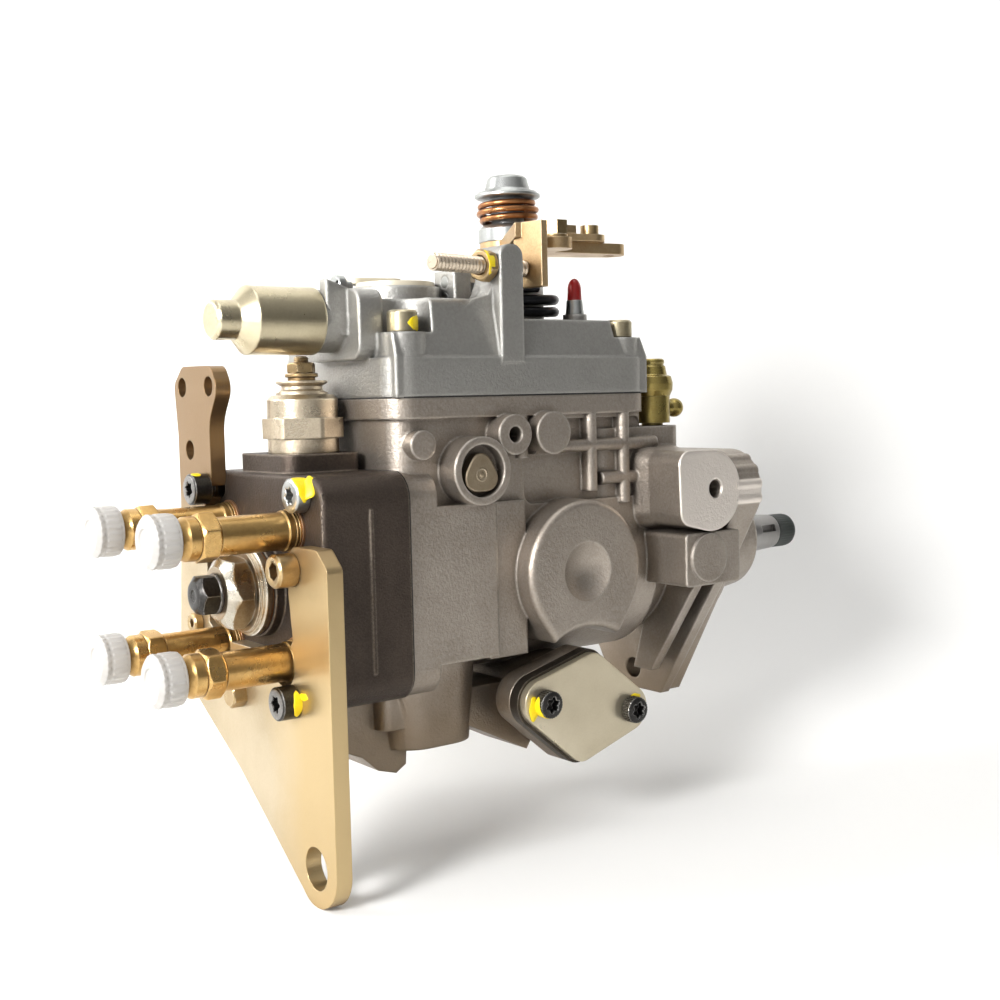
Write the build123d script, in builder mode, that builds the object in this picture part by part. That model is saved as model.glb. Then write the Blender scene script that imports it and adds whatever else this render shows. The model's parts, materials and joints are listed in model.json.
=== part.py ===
from build123d import *
from math import cos, radians, sin
import os

os.makedirs("parts", exist_ok=True)

# Rotary diesel injection pump, four outlets.
# X runs along the drive shaft and points to the drive end, Z is up.
# The origin lies on the shaft axis, on the mounting face of the flange.

# ---- driving dimensions, mm ----

run_gap = 0.04          # radial gap of every running fit
seat_gap = 0.05         # radial gap of a screw in its hole

# flange and drive end
flange_thick = 13.0
bolt_circle = 98.0
bolt_hole_r = 4.1
lobe_r = 15.0
flange_bottom = 57.0    # the lower lobe is cut flat at this depth
pilot_r = 34.0
pilot_len = 8.0
hub_len = 38.0
hub_root_r = 25.0
hub_end_r = 20.5
neck_r = 31.0

# housing
barrel_r = 36.0
wall_half = 34.5        # half width of the governor box
deck_z = barrel_r + 25.5
body_front = -32.0
body_rear = -145.0
rim_half = wall_half + 2.3
rim_depth = 7.0
deck_front = body_front - 4.0
deck_rear = body_rear - 2.0
corner_r = 8.5
shelf_z = deck_z - 12.5
shelf_front = -16.7
chamber_r = barrel_r - 8.0      # cam and feed pump chamber
chamber_front = body_front - 2.0
box_half = wall_half - 9.5      # half width of the governor chamber
box_front = body_front - 16.0
box_rear = body_rear + 7.0

# side bosses, given as (x, z) on the near side
disc_at = (-75.5, 0.0)
disc_r = 25.0
disc_face = wall_half + 11.5
disc_round = 2.2
disc_clear_r = 27.8     # the disc keeps this clear around the timing bore
bolt_boss_at = (body_rear + 27.0, 37.0)
bolt_boss_r = 11.3
bolt_boss_face = wall_half + 9.5
pad_face = wall_half + 4.3
ear_face = 57.6
ear_mid = (-26.2, 25.7)
ear_r = 14.6
ear_corner_r = 5.0
ear_corner_x = -37.2
ear_hole_at = (-24.4, 26.3)
ear_hole_r = 3.4
ear_hole_deep = 14.0
square_face = 56.6

# timing device, across the bottom
timing_at = (-75.5, -barrel_r - 11.4)
timing_turn = -11.5     # the covers lean by this angle
timing_end = wall_half + 3.1    # end faces of the timing bore
timing_bore_r = 12.5
timing_screw_out = 20.0
spacer_thick = 4.3
timing_cover_thick = 3.1
timing_travel = 8.0
timing_head_len = 4.6
disc_corners = ((disc_at[0] - 11.4, timing_at[1] + 25.8), (disc_at[0] + 11.9, timing_at[1] + 26.0))

# distributor head
head_len = 31.5
head_rear = body_rear - head_len
head_half_y = wall_half + 6.3
head_low = -barrel_r
head_top = barrel_r + 2.0
head_boss_z = head_top + 6.0
head_screw_y = head_half_y - 11.8
head_screw_z = barrel_r - 4.0
valve_y = 22.4
valve_z = 20.7
plunger_r = 5.0
plug_boss_r = 15.5
plug_boss_len = 3.5

# delivery valves
valve_r = 6.0
valve_len = 27.7        # seat ring to hexagon
valve_hex_af = 14.0
valve_hex_len = 7.0
valve_cone_len = 4.0
valve_ring_r = 7.2
valve_ring_len = 3.4
nipple_r = 5.6
nipple_len = 8.0
cap_r = 8.3
cap_len = 9.0
cap_wall = 1.3

# stop solenoid
solenoid_x = head_rear + 17.0
solenoid_y = 0.6
solenoid_r = 12.0
solenoid_af = 24.0
solenoid_hex_z = head_boss_z + 4.8
solenoid_hex_len = 6.7
solenoid_top_z = head_boss_z + 19.2
solenoid_nose_r = 8.0
solenoid_nose_z = head_boss_z - 10.0
stop_plunger_r = 3.5

# governor cover
ledge_z = deck_z + 13.0
cover_wall_z = deck_z + 20.5
cover_low_z = deck_z + 26.0     # top over the drive end
cover_high_z = deck_z + 32.5    # top over the head end
cover_step_x = deck_rear + 41.0
screw_inset = 8.7
front_seat_z = deck_z + 20.0
rear_seat_z = deck_z + 21.0
neck_y = -8.0
neck_z = deck_z + 25.5
neck_out_r = 10.3
neck_rear = deck_rear - 13.0
tamper_r = 11.0
tamper_len = 23.5
tamper_nose_r = 6.3
tamper_nose_len = 8.0
round_boss_at = (deck_rear + 25.0, 0.0)
round_boss_r = 15.5
round_boss_z = cover_high_z + 5.3

# control shaft and lever
lever_x = deck_front - 36.0
lever_y = 0.0
control_r = 6.0
shaft_boss_r = 12.5
shaft_boss_z = cover_low_z + 16.5
lever_z = shaft_boss_z + 9.5
lever_thick = 4.0
tab_angle = -113.0
tab_width = 12.0
tab_low_z = lever_z - 15.0
tab_high_z = lever_z + 7.5
cable_reach = 41.0
cable_angle = -15.0

# stop screw lug on the cover
lug_rear = lever_x - 32.0
lug_front = lever_x - 22.5
lug_top = lever_z - 1.5
lug_width = 14.0
stop_screw_y = -30.5
stop_screw_z = lever_z - 8.5
stop_screw_turn = 10.0
stop_screw_r = 3.0

# rear bracket
bracket_thick = 5.5
bracket_bore_at = (-39.7, -82.5)
bracket_bore_r = 6.8
bracket_tip_r = 12.3
side_screw_at = (-30.8, 9.4)

# roller ring and cam plate
roller_front = timing_at[0] - 8.5
cam_face = roller_front - 10.4
cam_rear = cam_face - 6.6
cam_front = roller_front + 12.0

# governor
carrier_r = 15.5
governor_z = chamber_r + carrier_r + 0.5     # the carrier clears the roller ring
lever_pivot_z = 24.0
sleeve_x = cam_rear - 20.0
drive_teeth = 34
governor_teeth = 23
gear_rear = box_front - 10.0
gear_len = 6.5
gear_module = 2 * governor_z / (drive_teeth + governor_teeth)
tip_share = 0.75
gear_room_r = max(chamber_r, (drive_teeth / 2 + tip_share) * gear_module + 0.4)
governor_shaft_r = 3.0


def on_circle(radius, angle):
    """Point at an angle, in degrees, on a circle."""
    return (radius * cos(radians(angle)), radius * sin(radians(angle)))


def turned(centre, offset, angle):
    """Point at an offset from a centre, turned with its piece."""
    across, up = offset
    return (
        centre[0] + across * cos(radians(angle)) - up * sin(radians(angle)),
        centre[1] + across * sin(radians(angle)) + up * cos(radians(angle)),
    )


def near_plane(depth):
    """Plane facing the near side, at a depth in front of the shaft axis."""
    return Plane.XZ.offset(depth)


flange_holes = [on_circle(bolt_circle / 2, angle) for angle in (150, 30, 270)]
near_lobe = flange_holes[0]
head_screws_at = [(y, z) for y in (-head_screw_y, head_screw_y) for z in (-head_screw_z, head_screw_z)]
valves_at = [(y, z) for y in (-valve_y, valve_y) for z in (-valve_z, valve_z)]
front_screw_x = deck_front - screw_inset
rear_screw_x = deck_rear + screw_inset
cover_screw_y = rim_half - screw_inset + 1.0
front_screws_at = [(front_screw_x, y) for y in (-cover_screw_y, cover_screw_y)]
rear_screws_at = [(rear_screw_x, y) for y in (-cover_screw_y, cover_screw_y)]
timing_screws_at = [turned(timing_at, (side * timing_screw_out, 0), timing_turn) for side in (-1, 1)]
deck_mid = (deck_front + deck_rear) / 2
deck_len = deck_front - deck_rear

# ---- pump housing ----

def diamond(grow=0.0):
    """Sketch of the leaning diamond of the timing covers."""
    with BuildSketch() as sketch:
        with Locations(turned((0, 0), (0, 12.6), timing_turn), turned((0, 0), (0, -13.5), timing_turn)):
            Circle(6.0 + grow)
        with Locations(turned((0, 0), (19.6, 0), timing_turn), turned((0, 0), (-20.2, 0), timing_turn)):
            Circle(8.2 + grow)
        make_hull()
    return sketch.sketch


def ear_shape(grow=0.0):
    """Sketch of the ear on the near upper lobe, seen from the near side."""
    with BuildSketch() as sketch:
        with Locations((ear_corner_x, 35.4), (ear_corner_x + 0.6, 18.4)):
            Circle(ear_corner_r + grow)
        with Locations(ear_mid):
            Circle(ear_r + grow)
        make_hull()
    return sketch.sketch


timing_shape = diamond()
timing_foot_shape = diamond(1.0)
rib_r = 2.3
rib_end = body_front - 1.0
rib_line = wall_half + 0.4         # depth of the ribs' centre lines
pocket_floor = wall_half - 2.3
pocket = (-94.0, -38.0, 24.0, 53.0)
ribs_along = ((43.3, -90.0), (31.2, -60.0))
ribs_up = ((-95.0, 40.0), (-64.0, 27.0), (-48.5, 22.0))
lobe_ribs = (125, 155, 185, 215)
side_boss_at = (
    (-86.2, 48.4, 7.3, wall_half + 7.5),
    (bolt_boss_at[0] + 15.2, 48.4, 6.8, wall_half + 7.5),
    (body_rear + 7.5, 46.1, 4.8, pad_face - 0.2),
)

with BuildPart() as side_disc:
    with BuildSketch(near_plane(20)):
        with Locations(disc_at):
            Circle(disc_r)
        with Locations(*disc_corners):
            Circle(3.4)
        make_hull()
        with Locations(timing_at):
            Circle(disc_clear_r, mode=Mode.SUBTRACT)
    extrude(amount=disc_face - 20)
    fillet(side_disc.faces().sort_by(Axis.Y)[0].edges(), disc_round)

with BuildPart() as housing:
    # cam barrel and the box of the governor chamber above it
    with BuildSketch(Plane.YZ.offset(body_rear)):
        Circle(barrel_r)
    extrude(amount=body_front - body_rear)
    with BuildSketch(Plane.XY):
        with Locations(((body_rear + deck_front) / 2, 0)):
            RectangleRounded(deck_front - body_rear, 2 * wall_half, 7)
    extrude(amount=deck_z - rim_depth)
    with BuildSketch(Plane.XY.offset(deck_z - rim_depth)):
        with Locations((deck_mid, 0)):
            RectangleRounded(deck_len, 2 * rim_half, corner_r)
    extrude(amount=rim_depth)
    # shallow field of the near wall, between the ribs
    with BuildSketch(near_plane(pocket_floor)):
        with Locations(((pocket[0] + pocket[1]) / 2, (pocket[2] + pocket[3]) / 2)):
            RectangleRounded(pocket[1] - pocket[0], pocket[3] - pocket[2], 4)
    extrude(amount=10, mode=Mode.SUBTRACT)
    # shelf in front of the deck, which carries the return union
    with BuildSketch(Plane.XY.offset(20)):
        with Locations((shelf_front - 22, 0)):
            RectangleRounded(44, 2 * (wall_half - 1), 6)
    extrude(amount=shelf_z - 20)
    # neck and triangular flange
    with BuildSketch(Plane.YZ.offset(body_front - 4)):
        Circle(neck_r)
    extrude(amount=-body_front + 4 - flange_thick)
    with BuildSketch(Plane.YZ.offset(-flange_thick)):
        with Locations(*flange_holes):
            Circle(lobe_r)
        make_hull()
        with Locations((0, -flange_bottom - 10)):
            Rectangle(60, 20, mode=Mode.SUBTRACT)
    extrude(amount=flange_thick)
    # ear on the near upper lobe, with its flat face and its wide root
    with BuildSketch(near_plane(22)):
        add(ear_shape())
    extrude(amount=ear_face - 22)
    with BuildSketch(near_plane(22)):
        add(ear_shape(4.5))
    with BuildSketch(near_plane(44)):
        add(ear_shape(-0.6))
    loft()
    # facets along the edge of the lobe
    with BuildSketch(Plane.YZ.offset(-flange_thick)):
        with Locations(near_lobe):
            with PolarLocations(lobe_r - 1.9, len(lobe_ribs), start_angle=lobe_ribs[0], angular_range=90):
                Circle(2.6)
    extrude(amount=flange_thick)
    # square boss below the ear, with its round pad
    with BuildSketch(near_plane(20)):
        with Locations((-24.7, 1.1)):
            RectangleRounded(27.2, 19.2, 1.5)
    extrude(amount=square_face - 20)
    with BuildSketch(near_plane(square_face)):
        with Locations((-27.4, 1.5)):
            Circle(8.8)
    extrude(amount=0.9)
    # webs from the boss down to the edge of the flange
    with BuildSketch(Plane.YZ.offset(-flange_thick - 9)):
        with BuildLine():
            Polyline((-50, -2), (-20, -46), (-10, -46), (-24, -2), close=True)
        make_face()
    extrude(amount=4)
    with BuildSketch(Plane.YZ.offset(-flange_thick)):
        with BuildLine():
            Polyline((-54, 2), (-15.5, -57), (-10, -57), (-20, -2), close=True)
        make_face()
    extrude(amount=4.5)
    # pilot and hub
    with BuildSketch(Plane.YZ):
        Circle(pilot_r)
    extrude(amount=pilot_len)
    with BuildSketch(Plane.YZ.offset(pilot_len)):
        Circle(hub_root_r)
    with BuildSketch(Plane.YZ.offset(hub_len)):
        Circle(hub_end_r)
    loft()

    # round side boss with its dimple, hollowed below around the timing bore
    add(side_disc.part)
    with Locations((disc_at[0], -disc_face - 11.8, disc_at[1])):
        Sphere(15.8, mode=Mode.SUBTRACT)
    # pads towards the head
    with BuildSketch(near_plane(20)):
        with Locations((body_rear + 19.5, 0)):
            Rectangle(33, 52)
    extrude(amount=pad_face - 20)
    with BuildSketch(near_plane(20)):
        with Locations((body_rear + 41, -0.5)):
            Rectangle(16, 53)
    extrude(amount=pad_face - 21.3)
    # bolt boss and the smaller round bosses
    with BuildSketch(near_plane(20)):
        with Locations(bolt_boss_at):
            Circle(bolt_boss_r)
    extrude(amount=bolt_boss_face - 20)
    with BuildSketch(near_plane(bolt_boss_face)):
        with Locations(bolt_boss_at):
            Circle(bolt_boss_r - 2.6)
    extrude(amount=-4.5, mode=Mode.SUBTRACT)
    for x, z, radius, face in side_boss_at:
        with BuildSketch(near_plane(25)):
            with Locations((x, z)):
                Circle(radius)
        extrude(amount=face - 25)
    with Locations(Plane.XZ.offset(side_boss_at[1][3])):
        with Locations(side_boss_at[1][:2]):
            Hole(2.7, 9)
    # round ribs on the near wall
    rib_top = deck_z - rim_depth
    for z, start in ribs_along:
        with Locations(((start + rib_end) / 2, -rib_line, z)):
            Cylinder(rib_r, rib_end - start, rotation=(0, 90, 0))
        with Locations(((start + rib_end) / 2, -rib_line + 3, z)):
            Box(rib_end - start, 6, 2 * rib_r)
    for x, low in ribs_up:
        with Locations((x, -rib_line, (low + rib_top) / 2)):
            Cylinder(rib_r, rib_top - low)
        with Locations((x, -rib_line + 3, (low + rib_top) / 2)):
            Box(2 * rib_r, 6, rib_top - low)

    # timing device across the bottom
    with BuildSketch(near_plane(-timing_end)):
        with Locations(timing_at):
            Circle(timing_bore_r + 4.5)
    extrude(amount=2 * timing_end)
    for side in (-1, 1):
        with BuildSketch(near_plane(side * timing_end)):
            with Locations(timing_at):
                add(timing_foot_shape)
        extrude(amount=-side * 8)
    # castings below the head end, stepped down towards the head
    with BuildSketch(Plane.XY.offset(-barrel_r - 22)):
        with Locations((body_rear + 23, 0)):
            RectangleRounded(34, 44, 12)
    with BuildSketch(Plane.XY.offset(-barrel_r + 16)):
        with Locations((body_rear + 21, 0)):
            RectangleRounded(40, 52, 12)
    loft()
    with BuildSketch(Plane.XY.offset(-barrel_r - 14)):
        with Locations((body_rear + 8, 0)):
            RectangleRounded(15, 40, 4)
    extrude(amount=30)
    with BuildSketch(Plane((body_rear, -14, -barrel_r), x_dir=(1, 0, 0), z_dir=(0, -1, 0))):
        with BuildLine():
            Polyline(
                (-14, -1.5), (-15, -14), (-11, -20), (-4, -23), (2, -28.5), (9, -30.5),
                (13, -28), (14, -14), (5, -1.5), close=True,
            )
        make_face()
    extrude(amount=-20)
    # web between the castings and the timing bore
    with BuildSketch(near_plane(20)):
        with BuildLine():
            Polyline((-112, -40), (-112, -52), (-84, -66), (-80, -60), (-80, -40), close=True)
        make_face()
    extrude(amount=-26)
    # rear flange against the head, with its four screw bosses
    with BuildSketch(Plane.YZ.offset(body_rear)):
        with Locations((0, (head_top + head_low) / 2)):
            RectangleRounded(2 * pad_face, head_top - head_low, 9)
    extrude(amount=12)

    # chambers
    with BuildSketch(Plane.YZ.offset(body_rear)):
        Circle(chamber_r)
    extrude(amount=chamber_front - body_rear, mode=Mode.SUBTRACT)
    # a large drive gear gets its own wider room in the chamber
    if gear_room_r > chamber_r:
        with BuildSketch(Plane.YZ.offset(gear_rear - 1)):
            Circle(gear_room_r)
        extrude(amount=gear_len + 2, mode=Mode.SUBTRACT)
    with BuildSketch(Plane.XY):
        with Locations(((box_front + box_rear) / 2, 0)):
            RectangleRounded(box_front - box_rear, 2 * box_half, 6)
    extrude(amount=deck_z, mode=Mode.SUBTRACT)
    # shaft bore, seal recess, timing bore and the slot of its pin
    with BuildSketch(Plane.YZ.offset(chamber_front)):
        Circle(12.5)
    extrude(amount=hub_len - chamber_front, mode=Mode.SUBTRACT)
    with BuildSketch(Plane.YZ.offset(hub_len - 9)):
        Circle(16)
    extrude(amount=9, mode=Mode.SUBTRACT)
    with BuildSketch(near_plane(-timing_end)):
        with Locations(timing_at):
            Circle(timing_bore_r)
    extrude(amount=2 * timing_end, mode=Mode.SUBTRACT)
    with BuildSketch(Plane.XY.offset(timing_at[1])):
        with Locations((timing_at[0], timing_travel / 2)):
            RectangleRounded(11, timing_travel + 14, 5)
    extrude(amount=30, mode=Mode.SUBTRACT)
    # screw and bolt holes
    with Locations(Plane.YZ):
        with Locations(*flange_holes[1:]):
            Hole(bolt_hole_r, flange_thick + 1)
        with Locations(near_lobe):
            Hole(bolt_hole_r, 11)
    with Locations(near_plane(ear_face)):
        with Locations(ear_hole_at):
            Hole(ear_hole_r, ear_hole_deep)
    with Locations(near_plane(bolt_boss_face - 4.5)):
        with Locations(bolt_boss_at):
            Hole(5 + seat_gap, 9)
    for y, z in head_screws_at:
        with Locations((body_rear + 5.5, y, z)):
            Cylinder(3 + seat_gap, 11, rotation=(0, 90, 0), mode=Mode.SUBTRACT)
    for x, y in front_screws_at + rear_screws_at:
        with Locations((x, y, deck_z - 6)):
            Cylinder(3 + seat_gap, 12.1, mode=Mode.SUBTRACT)
    for x, z in timing_screws_at:
        for side in (-1, 1):
            with Locations((x, side * (timing_end - 4.5), z)):
                Cylinder(2.5 + seat_gap, 9.1, rotation=(90, 0, 0), mode=Mode.SUBTRACT)
    with Locations((box_front + 5, 0, governor_z)):
        Cylinder(governor_shaft_r, 10, rotation=(0, 90, 0), mode=Mode.SUBTRACT)
    with Locations((sleeve_x, 0, lever_pivot_z)):
        Cylinder(2 + run_gap, 2 * box_half + 8, rotation=(90, 0, 0), mode=Mode.SUBTRACT)
housing.part.label = "pump_housing"
export_step(housing.part, "parts/pump_housing.step")

# ---- drive shaft and what turns with it ----

shaft_r = 10.0
shaft_rear = roller_front + 20.0
taper_start = 40.0
taper_end = 67.0
taper_end_r = 7.2
thread_r = 6.0
thread_end = 78.0
keyway_x = 60.0

with BuildPart() as shaft:
    with BuildSketch(Plane.XZ):
        with BuildLine():
            Polyline(
                (shaft_rear, 0), (shaft_rear, shaft_r), (taper_start, shaft_r),
                (taper_start + 1, shaft_r - 1), (taper_end, taper_end_r), (taper_end, thread_r),
                (thread_end - 1, thread_r), (thread_end, thread_r - 1), (thread_end, 0), close=True,
            )
        make_face()
    revolve(axis=Axis.X)
    with Locations((keyway_x, -taper_end_r - 0.4, 2.2)):
        Box(9, 5, 3, mode=Mode.SUBTRACT)
    # two drive dogs at the inner end
    with BuildSketch(Plane.YZ.offset(shaft_rear)):
        SlotOverall(17, 7, rotation=90)
    extrude(amount=-7)
shaft.part.label = "drive_shaft"
export_step(shaft.part, "parts/drive_shaft.step")

with BuildPart() as shaft_cap:
    with Locations((taper_end + 6.2, 0, 0)):
        Cylinder(7.1, 12, rotation=(0, 90, 0))
    fillet(shaft_cap.edges().filter_by(GeomType.CIRCLE).sort_by(Axis.X)[-1], 2.2)
    with Locations((taper_end + 5.7, 0, 0)):
        Cylinder(thread_r, 11, rotation=(0, 90, 0), mode=Mode.SUBTRACT)
shaft_cap.part.label = "shaft_cap"
export_step(shaft_cap.part, "parts/shaft_cap.step")

with BuildPart() as bush:
    with BuildSketch(Plane.YZ.offset(-12)):
        Circle(12.5)
        Circle(shaft_r + run_gap, mode=Mode.SUBTRACT)
    extrude(amount=36)
bush.part.label = "shaft_bush"
export_step(bush.part, "parts/shaft_bush.step")

with BuildPart() as seal:
    with BuildSketch(Plane.YZ.offset(hub_len - 9)):
        Circle(16)
        Circle(shaft_r + run_gap, mode=Mode.SUBTRACT)
    extrude(amount=7)
seal.part.label = "shaft_seal"
export_step(seal.part, "parts/shaft_seal.step")

pump_rear = chamber_front - 12.0
pump_len = 11.8
rotor_r = 18.0
ring_bore_r = 21.0
ring_shift = 2.4

with BuildPart() as pump_ring:
    with BuildSketch(Plane.YZ.offset(pump_rear)):
        Circle(chamber_r)
        with Locations((0, ring_shift)):
            Circle(ring_bore_r, mode=Mode.SUBTRACT)
    extrude(amount=pump_len)
pump_ring.part.label = "feed_pump_ring"
export_step(pump_ring.part, "parts/feed_pump_ring.step")

with BuildPart() as rotor:
    with BuildSketch(Plane.YZ.offset(pump_rear + 0.3)):
        Circle(rotor_r)
        with PolarLocations(0, 4, start_angle=45):
            with Locations((rotor_r - 3, 0)):
                Rectangle(7, 2)
        Circle(shaft_r, mode=Mode.SUBTRACT)
    extrude(amount=pump_len - 0.6)
rotor.part.label = "feed_pump_rotor"
export_step(rotor.part, "parts/feed_pump_rotor.step")


def gear_sketch(teeth, module, tooth_at):
    """Gear outline with straight-flanked teeth, one of them at the given angle."""
    pitch_r = teeth * module / 2
    root_r = pitch_r - 1.15 * module
    tip_r = pitch_r + tip_share * module
    with BuildSketch() as sketch:
        Circle(root_r + 0.05)
        for tooth in range(teeth):
            with Locations(Rotation(0, 0, tooth_at + 360 * tooth / teeth)):
                with BuildLine():
                    Polyline(
                        (root_r - 0.6, -0.95 * module), (tip_r, -0.36 * module),
                        (tip_r, 0.36 * module), (root_r - 0.6, 0.95 * module), close=True,
                    )
                make_face()
    return sketch.sketch


with BuildPart() as drive_gear:
    with BuildSketch(Plane.YZ.offset(gear_rear)):
        add(gear_sketch(drive_teeth, gear_module, 90))
        Circle(shaft_r, mode=Mode.SUBTRACT)
    extrude(amount=gear_len)
drive_gear.part.label = "drive_gear"
export_step(drive_gear.part, "parts/drive_gear.step")

cam_r = 24.5
lobe_count = 4
roller_out = 20.0

with BuildPart() as cam:
    with BuildSketch(Plane.XZ):
        with BuildLine():
            Polyline(
                (cam_rear, 0), (cam_rear, cam_r), (cam_face, cam_r), (cam_face, 13),
                (cam_front, 13), (cam_front, 0), close=True,
            )
        make_face()
    revolve(axis=Axis.X)
    for lobe in range(lobe_count):
        with Locations(Rotation(90 * lobe + 45, 0, 0)):
            with Locations((cam_face - 4.2, 0, roller_out)):
                Cylinder(6.8, 7)
    # slot for the dogs of the drive shaft
    with Locations((cam_front + 0.5, 0, 0)):
        Box(15.2, 7.2, 18, mode=Mode.SUBTRACT)
    split(bisect_by=Plane.YZ.offset(cam_rear), keep=Keep.TOP)
cam.part.label = "cam_plate"
export_step(cam.part, "parts/cam_plate.step")

plunger_len = cam_rear - head_rear - 3.5
with BuildPart() as plunger:
    with Locations((cam_rear - plunger_len / 2, 0, 0)):
        Cylinder(plunger_r, plunger_len, rotation=(0, 90, 0))
    with Locations((cam_rear - 2, 0, 0)):
        Cylinder(8, 4, rotation=(0, 90, 0))
    with Locations((body_rear - 5, 0, 0)):
        Cylinder(plunger_r + 1, 2, rotation=(0, 90, 0), mode=Mode.SUBTRACT)
        Cylinder(plunger_r - 0.6, 2, rotation=(0, 90, 0))
plunger.part.label = "distributor_plunger"
export_step(plunger.part, "parts/distributor_plunger.step")

spring_stop = body_rear + 8.0
with BuildPart() as springs:
    for side in (-1, 1):
        with Locations(((cam_rear + spring_stop) / 2, side * 19, -6)):
            Cylinder(5, cam_rear - spring_stop, rotation=(0, 90, 0))
            Cylinder(3.4, cam_rear - spring_stop, rotation=(0, 90, 0), mode=Mode.SUBTRACT)
springs.part.label = "plunger_springs"
export_step(springs.part, "parts/plunger_springs.step")

with BuildPart() as sleeve:
    with BuildSketch(Plane.YZ.offset(sleeve_x - 5)):
        Circle(9.5)
        Circle(plunger_r + run_gap, mode=Mode.SUBTRACT)
    extrude(amount=10)
    with Locations((sleeve_x, 0, 8)):
        Cylinder(2.25, 6, mode=Mode.SUBTRACT)
sleeve.part.label = "control_sleeve"
export_step(sleeve.part, "parts/control_sleeve.step")

# ---- roller ring, moved by the timing piston ----

pin_r = 3.5
with BuildPart() as roller_ring:
    with BuildSketch(Plane.YZ.offset(roller_front)):
        Circle(chamber_r - 0.3)
        Circle(14.5, mode=Mode.SUBTRACT)
    extrude(amount=16)
    for roller in range(4):
        with Locations(Rotation(90 * roller, 0, 0)):
            with Locations((roller_front - 2.5, 0, roller_out)):
                Cylinder(5.15, 9.2, mode=Mode.SUBTRACT)
    with Locations((timing_at[0], 0, -chamber_r - 10)):
        Cylinder(pin_r, 24)
roller_ring.part.label = "roller_ring"
export_step(roller_ring.part, "parts/roller_ring.step")

with BuildPart() as rollers:
    for roller in range(4):
        with Locations(Rotation(90 * roller, 0, 0)):
            with Locations((roller_front - 2.5, 0, roller_out)):
                Cylinder(5.0, 9)
rollers.part.label = "rollers"
export_step(rollers.part, "parts/rollers.step")

with BuildPart() as piston:
    with Locations((timing_at[0], 0, timing_at[1])):
        Cylinder(timing_bore_r - run_gap, 44, rotation=(90, 0, 0))
    with Locations((timing_at[0], 17, timing_at[1])):
        Cylinder(8, 12, rotation=(90, 0, 0), mode=Mode.SUBTRACT)
    # slot that lets the pin tilt as the ring turns
    with BuildSketch(Plane.XY.offset(timing_at[1] - 4)):
        with Locations((timing_at[0], -0.8)):
            RectangleRounded(2 * pin_r + 0.3, 2 * pin_r + 3.6, pin_r)
    extrude(amount=20, mode=Mode.SUBTRACT)
piston.part.label = "timing_piston"
export_step(piston.part, "parts/timing_piston.step")

# ---- governor ----

with BuildPart() as governor_shaft:
    with Locations(((box_front + sleeve_x + 11) / 2, 0, governor_z)):
        Cylinder(governor_shaft_r, box_front - sleeve_x + 9, rotation=(0, 90, 0))
governor_shaft.part.label = "governor_shaft"
export_step(governor_shaft.part, "parts/governor_shaft.step")

governor_phase = -90 + 180 / governor_teeth
with BuildPart() as carrier:
    with BuildSketch(Plane.YZ.offset(gear_rear)):
        with Locations((0, governor_z)):
            add(gear_sketch(governor_teeth, gear_module, governor_phase))
            Circle(governor_shaft_r + run_gap, mode=Mode.SUBTRACT)
    extrude(amount=gear_len - 0.5)
    with BuildSketch(Plane.YZ.offset(gear_rear)):
        with Locations((0, governor_z)):
            Circle(carrier_r)
            Circle(governor_shaft_r + run_gap, mode=Mode.SUBTRACT)
    extrude(amount=-3)
    with BuildSketch(Plane.YZ.offset(gear_rear - 3)):
        with Locations((0, governor_z)):
            with PolarLocations(carrier_r - 2.6, 4, start_angle=45):
                Rectangle(5, 7)
    extrude(amount=-13)
carrier.part.label = "governor_carrier"
export_step(carrier.part, "parts/governor_carrier.step")

with BuildPart() as weights:
    with BuildSketch(Plane.YZ.offset(gear_rear - 3.5)):
        with Locations((0, governor_z)):
            with PolarLocations(11.2, 4):
                Rectangle(6.5, 9)
    extrude(amount=-12)
weights.part.label = "flyweights"
export_step(weights.part, "parts/flyweights.step")

with BuildPart() as governor_lever:
    with BuildSketch(Plane.YZ.offset(sleeve_x - 2)):
        with Locations((0, 35)):
            RectangleRounded(14, 46, 4)
        with Locations((0, governor_z)):
            Circle(governor_shaft_r + 2.5, mode=Mode.SUBTRACT)
    extrude(amount=4)
    with Locations((sleeve_x, 0, 10)):
        Cylinder(1.6, 5)
    with Locations((sleeve_x, 0, 8)):
        Sphere(2.2)
    with Locations((sleeve_x, 0, lever_pivot_z)):
        Cylinder(2, 2 * box_half + 6, rotation=(90, 0, 0))
governor_lever.part.label = "governor_lever"
export_step(governor_lever.part, "parts/governor_lever.step")

# ---- distributor head ----

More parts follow.
